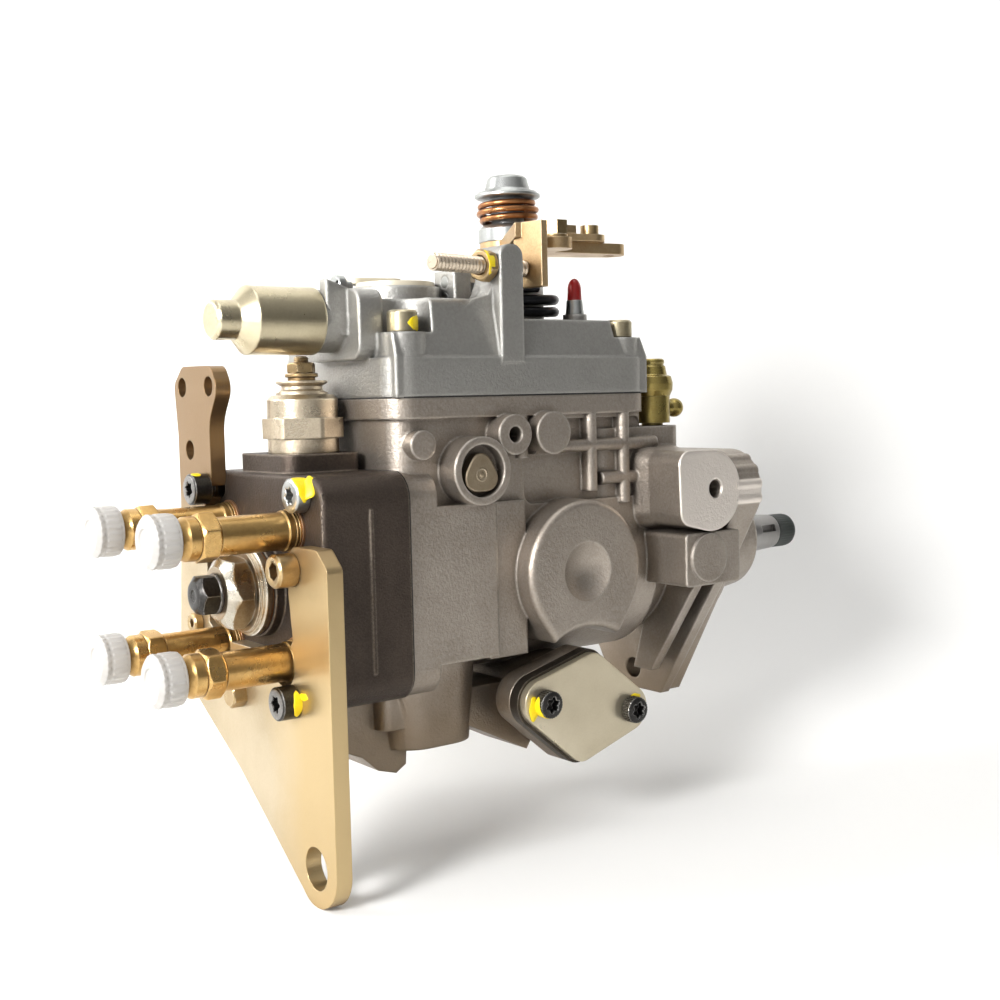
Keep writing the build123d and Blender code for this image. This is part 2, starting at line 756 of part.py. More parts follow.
with BuildPart() as head:
    with BuildSketch(Plane.YZ.offset(head_rear)):
        with Locations((0, (head_top + head_low) / 2)):
            RectangleRounded(2 * head_half_y, head_top - head_low, 9)
    extrude(amount=body_rear - head_rear)
    fillet(head.faces().sort_by(Axis.X)[0].edges(), 1.6)
    with BuildSketch(Plane.XY.offset(head_top - 8)):
        with Locations((solenoid_x - 1.5, 1)):
            RectangleRounded(28, 36, 5)
    extrude(amount=head_boss_z - head_top + 8)
    # parting ridge around the casting
    with Locations((head_rear + 17.2, 0, 1)):
        Box(1.2, 2 * head_half_y + 0.8, head_top - head_low - 22)
    with BuildSketch(Plane.YZ.offset(body_rear)):
        Circle(chamber_r)
    extrude(amount=8)
    with BuildSketch(Plane.YZ.offset(body_rear + 3)):
        Circle(chamber_r + 1)
        Circle(chamber_r - 2, mode=Mode.SUBTRACT)
    extrude(amount=2.6, mode=Mode.SUBTRACT)
    with BuildSketch(Plane.YZ.offset(head_rear)):
        Circle(plug_boss_r)
    extrude(amount=-plug_boss_len)
    # bores
    with BuildSketch(Plane.YZ.offset(head_rear - plug_boss_len)):
        Circle(plunger_r + run_gap)
    extrude(amount=head_len + 28, mode=Mode.SUBTRACT)
    with BuildSketch(Plane.YZ.offset(head_rear - plug_boss_len)):
        Circle(9)
    extrude(amount=14, mode=Mode.SUBTRACT)
    with BuildSketch(Plane.YZ.offset(head_rear)):
        with Locations(*valves_at):
            Circle(valve_r + seat_gap)
    extrude(amount=14, mode=Mode.SUBTRACT)
    with BuildSketch(Plane.YZ.offset(head_rear)):
        with Locations(*head_screws_at):
            Circle(3 + seat_gap)
    extrude(amount=body_rear - head_rear, mode=Mode.SUBTRACT)
    with BuildSketch(Plane.YZ.offset(head_rear)):
        with Locations(side_screw_at):
            Circle(2.5 + seat_gap)
    extrude(amount=10, mode=Mode.SUBTRACT)
    with Locations((solenoid_x, solenoid_y, (solenoid_nose_z + head_boss_z) / 2)):
        Cylinder(solenoid_nose_r + seat_gap, head_boss_z - solenoid_nose_z, mode=Mode.SUBTRACT)
    with Locations((solenoid_x, solenoid_y, solenoid_nose_z - 6.5)):
        Cylinder(4.5, 13, mode=Mode.SUBTRACT)
head.part.label = "distributor_head"
export_step(head.part, "parts/distributor_head.step")

with BuildPart() as head_ring:
    with BuildSketch(Plane.YZ.offset(body_rear + 3)):
        Circle(chamber_r)
        Circle(chamber_r - 2, mode=Mode.SUBTRACT)
    extrude(amount=2.6)
head_ring.part.label = "head_seal_ring"
export_step(head_ring.part, "parts/head_seal_ring.step")


def cap_screw(seat_x, at, head_r, head_len, shank_r, shank_len, key):
    """Socket screw pointing to +X, with its head behind the seat plane."""
    y, z = at
    with Locations((seat_x - head_len / 2, y, z)):
        Cylinder(head_r, head_len, rotation=(0, 90, 0))
    with Locations((seat_x + shank_len / 2, y, z)):
        Cylinder(shank_r, shank_len, rotation=(0, 90, 0))
    with BuildSketch(Plane.YZ.offset(seat_x - head_len)) as socket:
        with Locations((y, z)):
            RegularPolygon(key, 6)
    extrude(socket.sketch, amount=head_len * 0.55, mode=Mode.SUBTRACT)


bracket_face = head_rear - bracket_thick
with BuildPart() as head_screws:
    for at in (head_screws_at[0], head_screws_at[2], head_screws_at[3]):
        cap_screw(bracket_face, at, 5.3, 6.6, 3.0, 46, 2.9)
head_screws.part.label = "head_screws"
export_step(head_screws.part, "parts/head_screws.step")

with BuildPart() as plain_screw:
    cap_screw(head_rear, head_screws_at[1], 5.3, 6.6, 3.0, 41, 2.9)
plain_screw.part.label = "head_screw_plain"
export_step(plain_screw.part, "parts/head_screw_plain.step")

# ---- rear bracket ----

bracket_edge = (
    (-52, -82.5), (-52, 11), (-46, 16.5), (-30.5, 16.5), (-27.5, 2), (-29.6, -13), (-24, -19),
    (24, -19), (31, -14), (31, 27), (25, 34), (25, 55), (17.6, 66), (22.5, 73.7), (45.2, 74),
    (52.6, 67.8), (50.5, 50), (50.6, 27), (55.6, -24), (54, -34), (41.3, -43.3), (11.1, -61.1),
    (-34.2, -93.5),
)
arm_corners = (
    ((31, 27), 6), ((25, 34), 9), ((25, 55), 14), ((17.6, 66), 6), ((22.5, 73.7), 5),
    ((45.2, 74), 4.5), ((52.6, 67.8), 4.5), ((50.5, 50), 20), ((55.6, -24), 5),
)
arm_holes_at = ((45.9, 66.8), (24.6, 66.8), (41.3, 45.0))
arm_hole_r = 3.4
small_screws_at = ((38.6, -15.2), (7.5, -35.3))
with BuildPart() as bracket:
    with BuildSketch(Plane.YZ.offset(bracket_face)):
        with BuildLine():
            Polyline(*bracket_edge, close=True)
        make_face()
        for corner, corner_turn in arm_corners:
            fillet(vertices().sort_by_distance(corner + (0,))[0], corner_turn)
        fillet(vertices().filter_by_position(Axis.Y, 9, 17), 3)
        with Locations(bracket_bore_at):
            Circle(bracket_tip_r)
            Circle(bracket_bore_r, mode=Mode.SUBTRACT)
        with Locations(*valves_at):
            Circle(valve_ring_r + 0.6, mode=Mode.SUBTRACT)
        with Locations(*arm_holes_at):
            Circle(arm_hole_r, mode=Mode.SUBTRACT)
        with Locations(head_screws_at[0], head_screws_at[2], head_screws_at[3]):
            Circle(3 + seat_gap, mode=Mode.SUBTRACT)
        with Locations(side_screw_at):
            Circle(2.5 + seat_gap, mode=Mode.SUBTRACT)
        with Locations(*small_screws_at):
            Circle(2 + seat_gap, mode=Mode.SUBTRACT)
    extrude(amount=bracket_thick)
bracket.part.label = "rear_bracket"
export_step(bracket.part, "parts/rear_bracket.step")

with BuildPart() as bracket_screws:
    cap_screw(bracket_face, side_screw_at, 5.3, 7.0, 2.5, 14, 2.6)
    cap_screw(bracket_face, small_screws_at[0], 3.6, 3.4, 2.0, bracket_thick, 1.6)
    with BuildSketch(Plane.YZ.offset(bracket_face)):
        with Locations(small_screws_at[1]):
            RegularPolygon(4.0, 6, major_radius=False)
    extrude(amount=-5)
    with BuildSketch(Plane.YZ.offset(bracket_face)):
        with Locations(small_screws_at[1]):
            Circle(2)
    extrude(amount=bracket_thick)
bracket_screws.part.label = "bracket_screws"
export_step(bracket_screws.part, "parts/bracket_screws.step")

# ---- delivery valves, washers and outlet caps ----

washer_thick = 0.8
valve_seat = head_rear - washer_thick
valve_hex_rear = valve_seat - valve_len - valve_hex_len
nipple_rear = valve_hex_rear - valve_cone_len - nipple_len
with BuildPart() as valve_washers:
    with BuildSketch(Plane.YZ.offset(head_rear)):
        with Locations(*valves_at):
            Circle(valve_ring_r + 0.3)
            Circle(valve_r + seat_gap, mode=Mode.SUBTRACT)
    extrude(amount=-washer_thick)
    with BuildSketch(Plane.YZ.offset(head_rear - plug_boss_len)):
        Circle(14.4)
        Circle(9, mode=Mode.SUBTRACT)
    extrude(amount=-washer_thick)
valve_washers.part.label = "valve_washers"
export_step(valve_washers.part, "parts/valve_washers.step")

with BuildPart() as valves:
    with BuildSketch(Plane.YZ.offset(head_rear + 13)):
        with Locations(*valves_at):
            Circle(valve_r)
    extrude(amount=-(13 + washer_thick + valve_len))
    with BuildSketch(Plane.YZ.offset(valve_seat)):
        with Locations(*valves_at):
            Circle(valve_ring_r)
    extrude(amount=-valve_ring_len)
    with BuildSketch(Plane.YZ.offset(valve_seat - valve_len)):
        with Locations(*valves_at):
            RegularPolygon(valve_hex_af / 2, 6, major_radius=False)
    extrude(amount=-valve_hex_len)
    with BuildSketch(Plane.YZ.offset(valve_hex_rear)):
        with Locations(*valves_at):
            Circle(valve_r + 0.6)
    extrude(amount=-valve_cone_len)
    with BuildSketch(Plane.YZ.offset(valve_hex_rear - valve_cone_len)):
        with Locations(*valves_at):
            Circle(nipple_r)
    extrude(amount=-nipple_len)
    with BuildSketch(Plane.YZ.offset(nipple_rear)):
        with Locations(*valves_at):
            Circle(1.6)
    extrude(amount=26, mode=Mode.SUBTRACT)
valves.part.label = "delivery_valves"
export_step(valves.part, "parts/delivery_valves.step")

with BuildPart() as outlet_caps:
    with BuildSketch(Plane.YZ.offset(nipple_rear + cap_len - cap_wall - 0.6)):
        with Locations(*valves_at):
            Circle(cap_r)
    extrude(amount=-cap_len)
    chamfer(outlet_caps.edges().filter_by(GeomType.CIRCLE).group_by(Axis.X)[0], 1.4)
    with BuildSketch(Plane.YZ.offset(nipple_rear + cap_len - cap_wall - 0.6)):
        with Locations(*valves_at):
            Circle(nipple_r + seat_gap)
    extrude(amount=-(cap_len - cap_wall - 0.6), mode=Mode.SUBTRACT)
outlet_caps.part.label = "outlet_caps"
export_step(outlet_caps.part, "parts/outlet_caps.step")

# ---- centre plug and bleed bolt ----

plug_seat = head_rear - plug_boss_len - washer_thick
plug_hex_rear = plug_seat - 10.5
with BuildPart() as plug:
    with BuildSketch(Plane.YZ.offset(plug_seat)):
        Circle(15)
    extrude(amount=-3.0)
    with BuildSketch(Plane.YZ.offset(plug_seat - 3)):
        Circle(13.0)
    extrude(amount=-0.8)
    with BuildSketch(Plane.YZ.offset(plug_seat - 3.8)):
        RegularPolygon(11, 6, major_radius=False, rotation=8)
    extrude(amount=-6.7)
    with BuildSketch(Plane.XZ):
        with BuildLine():
            Polyline(
                (plug_hex_rear - 1, 0), (plug_hex_rear - 1, 9.8), (plug_hex_rear + 2.8, 15.6),
                (plug_seat + 1, 15.6), (plug_seat + 1, 0), close=True,
            )
        make_face()
    revolve(axis=Axis.X, mode=Mode.INTERSECT)
    with BuildSketch(Plane.YZ.offset(plug_seat)):
        Circle(8.9)
    extrude(amount=6)
    with BuildSketch(Plane.YZ.offset(plug_hex_rear)):
        Circle(3 + seat_gap)
    extrude(amount=20, mode=Mode.SUBTRACT)
plug.part.label = "centre_plug"
export_step(plug.part, "parts/centre_plug.step")

with BuildPart() as bleed_bolt:
    with BuildSketch(Plane.YZ.offset(plug_hex_rear)):
        Circle(7)
    extrude(amount=-1.6)
    with BuildSketch(Plane.YZ.offset(plug_hex_rear - 1.6)):
        RegularPolygon(6, 6, major_radius=False, rotation=20)
    extrude(amount=-8.5)
    with BuildSketch(Plane.YZ.offset(plug_hex_rear)):
        Circle(3)
    extrude(amount=13)
bleed_bolt.part.label = "bleed_bolt"
export_step(bleed_bolt.part, "parts/bleed_bolt.step")

# ---- stop solenoid ----

solenoid_at = (solenoid_x, solenoid_y)
with BuildPart() as solenoid:
    with BuildSketch(Plane.XY.offset(solenoid_nose_z)):
        with Locations(solenoid_at):
            Circle(solenoid_nose_r)
    extrude(amount=head_boss_z - solenoid_nose_z)
    with BuildSketch(Plane.XY.offset(head_boss_z)):
        with Locations(solenoid_at):
            Circle(solenoid_r - 0.2)
    extrude(amount=solenoid_top_z - head_boss_z)
    chamfer(solenoid.edges().filter_by(GeomType.CIRCLE).sort_by(Axis.Z)[-1], 1.6)
    with BuildSketch(Plane.XY.offset(solenoid_hex_z)):
        with Locations(solenoid_at):
            RegularPolygon(solenoid_af / 2, 6, major_radius=False, rotation=30)
            Circle(solenoid_r + 1.4, mode=Mode.INTERSECT)
    extrude(amount=solenoid_hex_len)
    with BuildSketch(Plane.XY.offset(solenoid_top_z)):
        with Locations(solenoid_at):
            Circle(8.6)
    extrude(amount=0.8)
    with BuildSketch(Plane.XY.offset(solenoid_nose_z)):
        with Locations(solenoid_at):
            Circle(stop_plunger_r + run_gap)
    extrude(amount=16, mode=Mode.SUBTRACT)
solenoid.part.label = "solenoid_body"
export_step(solenoid.part, "parts/solenoid_body.step")

insulator_z = solenoid_top_z + 0.8
insulator_len = 3.8
with BuildPart() as insulator:
    # dished disc with a flared foot and a thin rim
    with BuildSketch(Plane.XZ):
        with BuildLine():
            Polyline(
                (2.5, 0), (7.9, 0), (6.9, 1.0), (6.7, 2.0), (8.6, 3.1), (8.6, 3.8),
                (4.6, 3.3), (4.6, insulator_len), (2.5, insulator_len), close=True,
            )
        make_face()
    revolve(axis=Axis.Z)
insulator.part = insulator.part.moved(Location(solenoid_at + (insulator_z,)))
insulator.part.label = "solenoid_insulator"
export_step(insulator.part, "parts/solenoid_insulator.step")

with BuildPart() as stud:
    with BuildSketch(Plane.XY.offset(insulator_z)):
        with Locations(solenoid_at):
            Circle(2.5)
    extrude(amount=12)
    with BuildSketch(Plane.XY.offset(insulator_z + insulator_len)):
        with Locations(solenoid_at):
            Circle(4.6)
    extrude(amount=1.2)
stud.part.label = "terminal_stud"
export_step(stud.part, "parts/terminal_stud.step")

with BuildPart() as stud_nut:
    with BuildSketch(Plane.XY.offset(insulator_z + 5)):
        with Locations(solenoid_at):
            Circle(5.6)
    extrude(amount=1.2)
    with BuildSketch(Plane.XY.offset(insulator_z + 6.2)):
        with Locations(solenoid_at):
            RegularPolygon(4.3, 6, major_radius=False, rotation=15)
    extrude(amount=3.8)
    with BuildSketch(Plane.XY.offset(insulator_z + 5)):
        with Locations(solenoid_at):
            Circle(2.5)
    extrude(amount=6, mode=Mode.SUBTRACT)
stud_nut.part.label = "terminal_nut"
export_step(stud_nut.part, "parts/terminal_nut.step")

with BuildPart() as stop_plunger:
    with BuildSketch(Plane.XY.offset(solenoid_nose_z - 9)):
        with Locations(solenoid_at):
            Circle(stop_plunger_r)
    extrude(amount=20)
stop_plunger.part.label = "solenoid_plunger"
export_step(stop_plunger.part, "parts/solenoid_plunger.step")

# ---- governor cover ----

stop_screw_mid = (lever_x - 27.0, stop_screw_y, stop_screw_z)
small_lug_at = (lug_rear - 0.5, -10.0)
idle_screws_z = (cover_high_z + 1.6, cover_high_z + 7.2)
vent_at = (lever_x + 17.0, -17.0)
with BuildPart() as cover:
    # upper body with its sloping sides
    with BuildSketch(Plane.XZ):
        with BuildLine():
            Polyline(
                (deck_rear + 1.5, deck_z), (deck_rear + 1.5, cover_high_z - 2),
                (deck_rear + 3.5, cover_high_z), (cover_step_x - 5, cover_high_z),
                (cover_step_x - 1, cover_high_z - 1.4), (cover_step_x + 6, cover_low_z + 0.8),
                (cover_step_x + 10, cover_low_z), (deck_front - 13, cover_low_z),
                (deck_front - 10, cover_low_z - 1.5), (deck_front - 3, cover_wall_z),
                (deck_front - 1, ledge_z), (deck_front - 1, deck_z), close=True,
            )
        make_face()
    extrude(amount=rim_half, both=True)
    with BuildSketch(Plane.YZ.offset(deck_rear)):
        with BuildLine():
            Polyline(
                (-rim_half + 1, deck_z), (-rim_half + 1, ledge_z), (-rim_half + 5, cover_high_z),
                (rim_half - 5, cover_high_z), (rim_half - 1, ledge_z), (rim_half - 1, deck_z), close=True,
            )
        make_face()
    extrude(amount=deck_len, mode=Mode.INTERSECT)
    fillet(cover.edges().filter_by(Axis.X).group_by(Axis.Z)[-1], 3)
    with BuildSketch(Plane.XY.offset(deck_z)):
        with Locations((deck_mid, 0)):
            RectangleRounded(deck_len, 2 * rim_half, corner_r)
    extrude(amount=ledge_z - deck_z)
    # pockets and columns of the four screws
    for x, y in rear_screws_at:
        with Locations((x, y, rear_seat_z + 10)):
            Cylinder(9.4, 20, mode=Mode.SUBTRACT)
        with Locations((x, y, (deck_z + rear_seat_z) / 2)):
            Cylinder(7.6, rear_seat_z - deck_z)
    for x, y in front_screws_at:
        with Locations((x, y, front_seat_z + 10)):
            Cylinder(8.6, 20, mode=Mode.SUBTRACT)
        with Locations((x, y, (deck_z + front_seat_z) / 2)):
            Cylinder(7.0, front_seat_z - deck_z)
    # bosses on top
    with BuildSketch(Plane.XY.offset(cover_low_z - 5)):
        with Locations((lever_x, lever_y)):
            Circle(shaft_boss_r)
    extrude(amount=shaft_boss_z - cover_low_z + 5)
    with BuildSketch(Plane.XY.offset(cover_high_z - 5)):
        with Locations(round_boss_at):
            Circle(round_boss_r)
    extrude(amount=round_boss_z - cover_high_z + 5)
    with BuildSketch(Plane.XY.offset(cover_low_z - 5)):
        with Locations(vent_at):
            Circle(4.4)
    extrude(amount=8)
    # lug of the stop screw, with its spread foot
    with BuildSketch(near_plane(-stop_screw_y - lug_width / 2)):
        with Locations(((lug_rear + lug_front) / 2, (ledge_z + lug_top) / 2)):
            RectangleRounded(lug_front - lug_rear, lug_top - ledge_z, 4)
        with Locations(((lug_rear + lug_front) / 2, ledge_z + 4)):
            Rectangle(lug_front - lug_rear, 12)
    extrude(amount=lug_width - 0.4)
    with BuildSketch(Plane.YZ.offset(lug_rear)):
        with BuildLine():
            Polyline(
                (-24, cover_low_z - 3.5), (-24, cover_low_z + 15.5), (-20, cover_low_z + 8.5),
                (-15, cover_low_z + 4.5), (-15, cover_low_z - 3.5), close=True,
            )
        make_face()
    extrude(amount=lug_front - lug_rear)
    with BuildSketch(near_plane(-stop_screw_y - 5)):
        with BuildLine():
            Polyline(
                (lug_rear - 17, cover_high_z - 6), (lug_rear - 8, cover_high_z - 0.5),
                (lug_rear - 2, cover_high_z + 1), (lug_rear + 1, cover_high_z + 7),
                (lug_rear + 1, cover_high_z - 14), (lug_rear - 12, cover_high_z - 14), close=True,
            )
        make_face()
    extrude(amount=7)
    with Locations((small_lug_at[0], small_lug_at[1], cover_high_z + 3)):
        Box(7, 12, 16)
    # neck of the full load screw and the ear beside it
    with BuildSketch(Plane.YZ.offset(deck_rear + 4)):
        with Locations((neck_y + 1.5, neck_z - 1.5)):
            RectangleRounded(37, 23, 5)
    extrude(amount=-9)
    with BuildSketch(Plane.YZ.offset(deck_rear + 2)):
        with Locations((neck_y, neck_z)):
            Circle(neck_out_r)
    extrude(amount=neck_rear - deck_rear - 2)
    with BuildSketch(near_plane(14)):
        with BuildLine():
            Polyline(
                (deck_rear, neck_z - 5), (deck_rear, neck_z + 10), (deck_rear - 3, neck_z + 10),
                (neck_rear + 0.4, neck_z + 13), (neck_rear + 0.4, neck_z + 5), (deck_rear - 7, neck_z - 5), close=True,
            )
        make_face()
    extrude(amount=4)
    # chamber and bores
    with BuildSketch(Plane.XY.offset(deck_z)):
        with Locations(((box_front + box_rear) / 2, 0)):
            RectangleRounded(box_front - box_rear, 2 * box_half - 4, 7)
    extrude(amount=cover_low_z - 3.5 - deck_z, mode=Mode.SUBTRACT)
    with Locations((lever_x, lever_y, shaft_boss_z - 15)):
        Cylinder(control_r + run_gap, 31, mode=Mode.SUBTRACT)
    with Locations((neck_rear + 9, neck_y, neck_z)):
        Cylinder(4 + seat_gap, 40, rotation=(0, 90, 0), mode=Mode.SUBTRACT)
    with Locations((vent_at[0], vent_at[1], cover_low_z + 0.5)):
        Cylinder(2, 14, mode=Mode.SUBTRACT)
    for x, y in rear_screws_at + front_screws_at:
        with Locations((x, y, deck_z + 10)):
            Cylinder(3 + seat_gap, 24, mode=Mode.SUBTRACT)
    with Locations(Location(stop_screw_mid, (0, 0, stop_screw_turn))):
        Cylinder(stop_screw_r + seat_gap, 40, rotation=(0, 90, 0), mode=Mode.SUBTRACT)
    for z in idle_screws_z:
        with Locations((small_lug_at[0], small_lug_at[1], z)):
            Cylinder(2 + seat_gap, 8, rotation=(0, 90, 0), mode=Mode.SUBTRACT)
cover.part.label = "governor_cover"
export_step(cover.part, "parts/governor_cover.step")

with BuildPart() as cover_screws:
    for seats, seat_z, head_len in ((rear_screws_at, rear_seat_z, 7.2), (front_screws_at, front_seat_z, 6.4)):
        for x, y in seats:
            with Locations((x, y, seat_z + head_len / 2)):
                Cylinder(5, head_len)
            with Locations((x, y, (seat_z + deck_z - 11) / 2)):
                Cylinder(3, seat_z - deck_z + 11)
            with BuildSketch(Plane.XY.offset(seat_z + head_len)):
                with Locations((x, y)):
                    RegularPolygon(2.9, 6)
            extrude(amount=-head_len * 0.6, mode=Mode.SUBTRACT)
cover_screws.part.label = "cover_screws"
export_step(cover_screws.part, "parts/cover_screws.step")

load_nut_x = neck_rear - 6.5
with BuildPart() as load_screw:
    with Locations((neck_rear + 3, neck_y, neck_z)):
        Cylinder(4, 42, rotation=(0, 90, 0))
    with BuildSketch(Plane.YZ.offset(load_nut_x)):
        with Locations((neck_y, neck_z)):
            RegularPolygon(6.5, 6, major_radius=False)
    extrude(amount=neck_rear - load_nut_x)
load_screw.part.label = "full_load_screw"
export_step(load_screw.part, "parts/full_load_screw.step")

tamper_rear = neck_rear - tamper_len
with BuildPart() as tamper_cap:
    with BuildSketch(Plane.XZ):
        with BuildLine():
            Polyline(
                (neck_rear, 0), (neck_rear, tamper_r), (tamper_rear, tamper_r),
                (tamper_rear - 4.3, tamper_nose_r), (tamper_rear - tamper_nose_len - 3, tamper_nose_r),
                (tamper_rear - tamper_nose_len - 4, tamper_nose_r - 1), (tamper_rear - tamper_nose_len - 4, 0),
                close=True,
            )
        make_face()
    revolve(axis=Axis.X)
    with BuildSketch(Plane.XZ):
        with BuildLine():
            Polyline(
                (neck_rear, 0), (neck_rear, tamper_r - 1.6), (tamper_rear + 1.5, tamper_r - 1.6),
                (tamper_rear + 1.5, 0), close=True,
            )
        make_face()
    revolve(axis=Axis.X, mode=Mode.SUBTRACT)
tamper_cap.part = tamper_cap.part.moved(Location((0, neck_y, neck_z)))
tamper_cap.part.label = "tamper_cap"
export_step(tamper_cap.part, "parts/tamper_cap.step")

with BuildPart() as blanking:
    with BuildSketch(Plane.XY.offset(round_boss_z)):
        with Locations(round_boss_at):
            Circle(13.6)
        with Locations((round_boss_at[0] + 14.5, 4)):
            Circle(4.2)
        make_hull()
    extrude(amount=1.8)
    with BuildSketch(Plane.XY.offset(round_boss_z + 1.8)):
        with Locations((round_boss_at[0] + 1, 7), (round_boss_at[0] - 10, 9)):
            Circle(5)
        make_hull()
    extrude(amount=2)
blanking.part.label = "blanking_plate"
export_step(blanking.part, "parts/blanking_plate.step")

with BuildPart() as idle_screws:
    for z in idle_screws_z:
        with Locations((small_lug_at[0], small_lug_at[1], z)):
            Cylinder(2, 7, rotation=(0, 90, 0))
        with BuildSketch(Plane.YZ.offset(small_lug_at[0] + 3.5)):
            with Locations((small_lug_at[1], z)):
                RegularPolygon(2.6, 6, major_radius=False)
        extrude(amount=4.5)
idle_screws.part.label = "idle_screws"
export_step(idle_screws.part, "parts/idle_screws.step")

with BuildPart() as stop_screw:
    with Locations((-10, 0, 0)):
        Cylinder(stop_screw_r, 44.6, rotation=(0, 90, 0))
    chamfer(stop_screw.edges().filter_by(GeomType.CIRCLE), 0.8)
stop_screw.part = stop_screw.part.moved(Location(stop_screw_mid, (0, 0, stop_screw_turn)))
stop_screw.part.label = "stop_screw"
export_step(stop_screw.part, "parts/stop_screw.step")

nut_x = -(lug_front - lug_rear) / 2 - 1.4
with BuildPart() as stop_nut:
    with BuildSketch(Plane.YZ.offset(nut_x)):
        RegularPolygon(5, 6, major_radius=False)
        Circle(stop_screw_r, mode=Mode.SUBTRACT)
    extrude(amount=-4.2)
stop_nut.part = stop_nut.part.moved(Location(stop_screw_mid, (0, 0, stop_screw_turn)))
stop_nut.part.label = "stop_screw_nut"
export_step(stop_nut.part, "parts/stop_screw_nut.step")

with BuildPart() as vent_stub:
    with Locations((vent_at[0], vent_at[1], cover_low_z + 3 + 2.6)):
        Cone(3.4, 2.9, 5.2)
    with Locations((vent_at[0], vent_at[1], cover_low_z - 0.5)):
        Cylinder(2, 7)
    with Locations((vent_at[0], vent_at[1], cover_low_z + 6)):
        Cylinder(1.1, 16, mode=Mode.SUBTRACT)
vent_stub.part.label = "vent_stub"
export_step(vent_stub.part, "parts/vent_stub.step")

plug_z = cover_low_z + 3 + 5.2
with BuildPart() as vent_plug:
    with Locations((vent_at[0], vent_at[1], plug_z + 4)):
        Cylinder(2.7, 8)
    fillet(vent_plug.edges().filter_by(GeomType.CIRCLE).sort_by(Axis.Z)[-1], 2.4)
    with Locations((vent_at[0], vent_at[1], plug_z - 1)):
        Cylinder(1.05, 4)
vent_plug.part.label = "vent_plug"
export_step(vent_plug.part, "parts/vent_plug.step")

# ---- return union on the shelf ----

union_at = (shelf_front - 8.3, -25.6)
with BuildPart() as return_union:
    with Locations((union_at[0], union_at[1], shelf_z + 6)):
        Cylinder(6.7, 10)
    with Locations((union_at[0] + 7, union_at[1], shelf_z + 6.5)):
        Cylinder(2.6, 10, rotation=(0, 90, 0))
    with Locations((union_at[0] + 11.4, union_at[1], shelf_z + 6.5)):
        Sphere(3.6)
    with Locations((union_at[0], union_at[1], shelf_z + 6)):
        Cylinder(4 + seat_gap, 12, mode=Mode.SUBTRACT)
return_union.part.label = "return_union"
export_step(return_union.part, "parts/return_union.step")

with BuildPart() as union_bolt:
    with BuildSketch(Plane.XZ):
        with BuildLine():
            Polyline(
                (0, 0), (4, 0), (4, 11), (6.7, 11), (7.8, 13.3), (8.0, 15.8), (7.3, 18.4), (5.8, 19),
                (5.2, 22.2), (4.6, 22.6), (4.6, 23.2), (4.9, 23.5), (4.8, 24.5), (4.2, 25), (0, 25), close=True,
            )
        make_face()
    revolve(axis=Axis.Z)
union_bolt.part = union_bolt.part.moved(Location(union_at + (shelf_z,)))
union_bolt.part.label = "union_bolt"
export_step(union_bolt.part, "parts/union_bolt.step")

# ---- side bolt and timing covers ----

with BuildPart() as side_bolt:
    with BuildSketch(near_plane(bolt_boss_face - 4.5)):
        with Locations(bolt_boss_at):
            with PolarLocations(3.0, 3, start_angle=30):
                Circle(4.4)
            make_hull()
    extrude(amount=3.8)
    with Locations(near_plane(bolt_boss_face - 4.5 - 4)):
        with Locations(bolt_boss_at):
            Cylinder(5, 8)
side_bolt.part.label = "side_bolt"
export_step(side_bolt.part, "parts/side_bolt.step")

with BuildPart() as timing_spacer:
    with BuildSketch(near_plane(timing_end)):
        with Locations(timing_at):
            add(timing_foot_shape)
            Circle(timing_bore_r - 3, mode=Mode.SUBTRACT)
        with Locations(*timing_screws_at):
            Circle(2.5 + seat_gap, mode=Mode.SUBTRACT)
    extrude(amount=spacer_thick)
timing_spacer.part.label = "timing_spacer"
export_step(timing_spacer.part, "parts/timing_spacer.step")

timing_covers = (
    ("timing_cover_near", timing_end + spacer_thick),
    ("timing_cover_far", -timing_end - timing_cover_thick),
)
for label, depth in timing_covers:
    with BuildPart() as timing_cover:
        with BuildSketch(near_plane(depth)):
            with Locations(timing_at):
                add(timing_shape)
            with Locations(*timing_screws_at):
                Circle(2.5 + seat_gap, mode=Mode.SUBTRACT)
        extrude(amount=timing_cover_thick)
    timing_cover.part.label = label
    export_step(timing_cover.part, f"parts/{label}.step")

timing_seats = ((timing_end + spacer_thick + timing_cover_thick, 1), (timing_end + timing_cover_thick, -1))
with BuildPart() as timing_screws:
    for depth, side in timing_seats:
        for x, z in timing_screws_at:
            with Locations((x, -side * (depth + timing_head_len / 2), z)):
                Cylinder(4.7, timing_head_len, rotation=(90, 0, 0))
            with Locations((x, -side * (depth + timing_end - 8) / 2, z)):
                Cylinder(2.5, depth - timing_end + 8, rotation=(90, 0, 0))
            with Locations((x, -side * (depth + timing_head_len - 1.2), z)):
                Cylinder(2.4, 2.4, rotation=(90, 0, 0), mode=Mode.SUBTRACT)
timing_screws.part.label = "timing_screws"
export_step(timing_screws.part, "parts/timing_screws.step")

# ---- control shaft, lever and springs ----

lever_at = (lever_x, lever_y)
shaft_top = lever_z + 27.5
with BuildPart() as control_shaft:
    with BuildSketch(Plane.XY.offset(deck_z + 9.5)):
        with Locations(lever_at):
            Circle(control_r)
    extrude(amount=shaft_top - deck_z - 9.5)
    with BuildSketch(Plane.XY.offset(deck_z + 6.5)):
        with Locations(lever_at):
            Circle(8)
    extrude(amount=3)
    with BuildSketch(Plane.XY.offset(deck_z + 1)):
        with Locations((lever_x - 5, lever_y)):
            Circle(2.5)
    extrude(amount=6)
control_shaft.part.label = "control_shaft"
export_step(control_shaft.part, "parts/control_shaft.step")

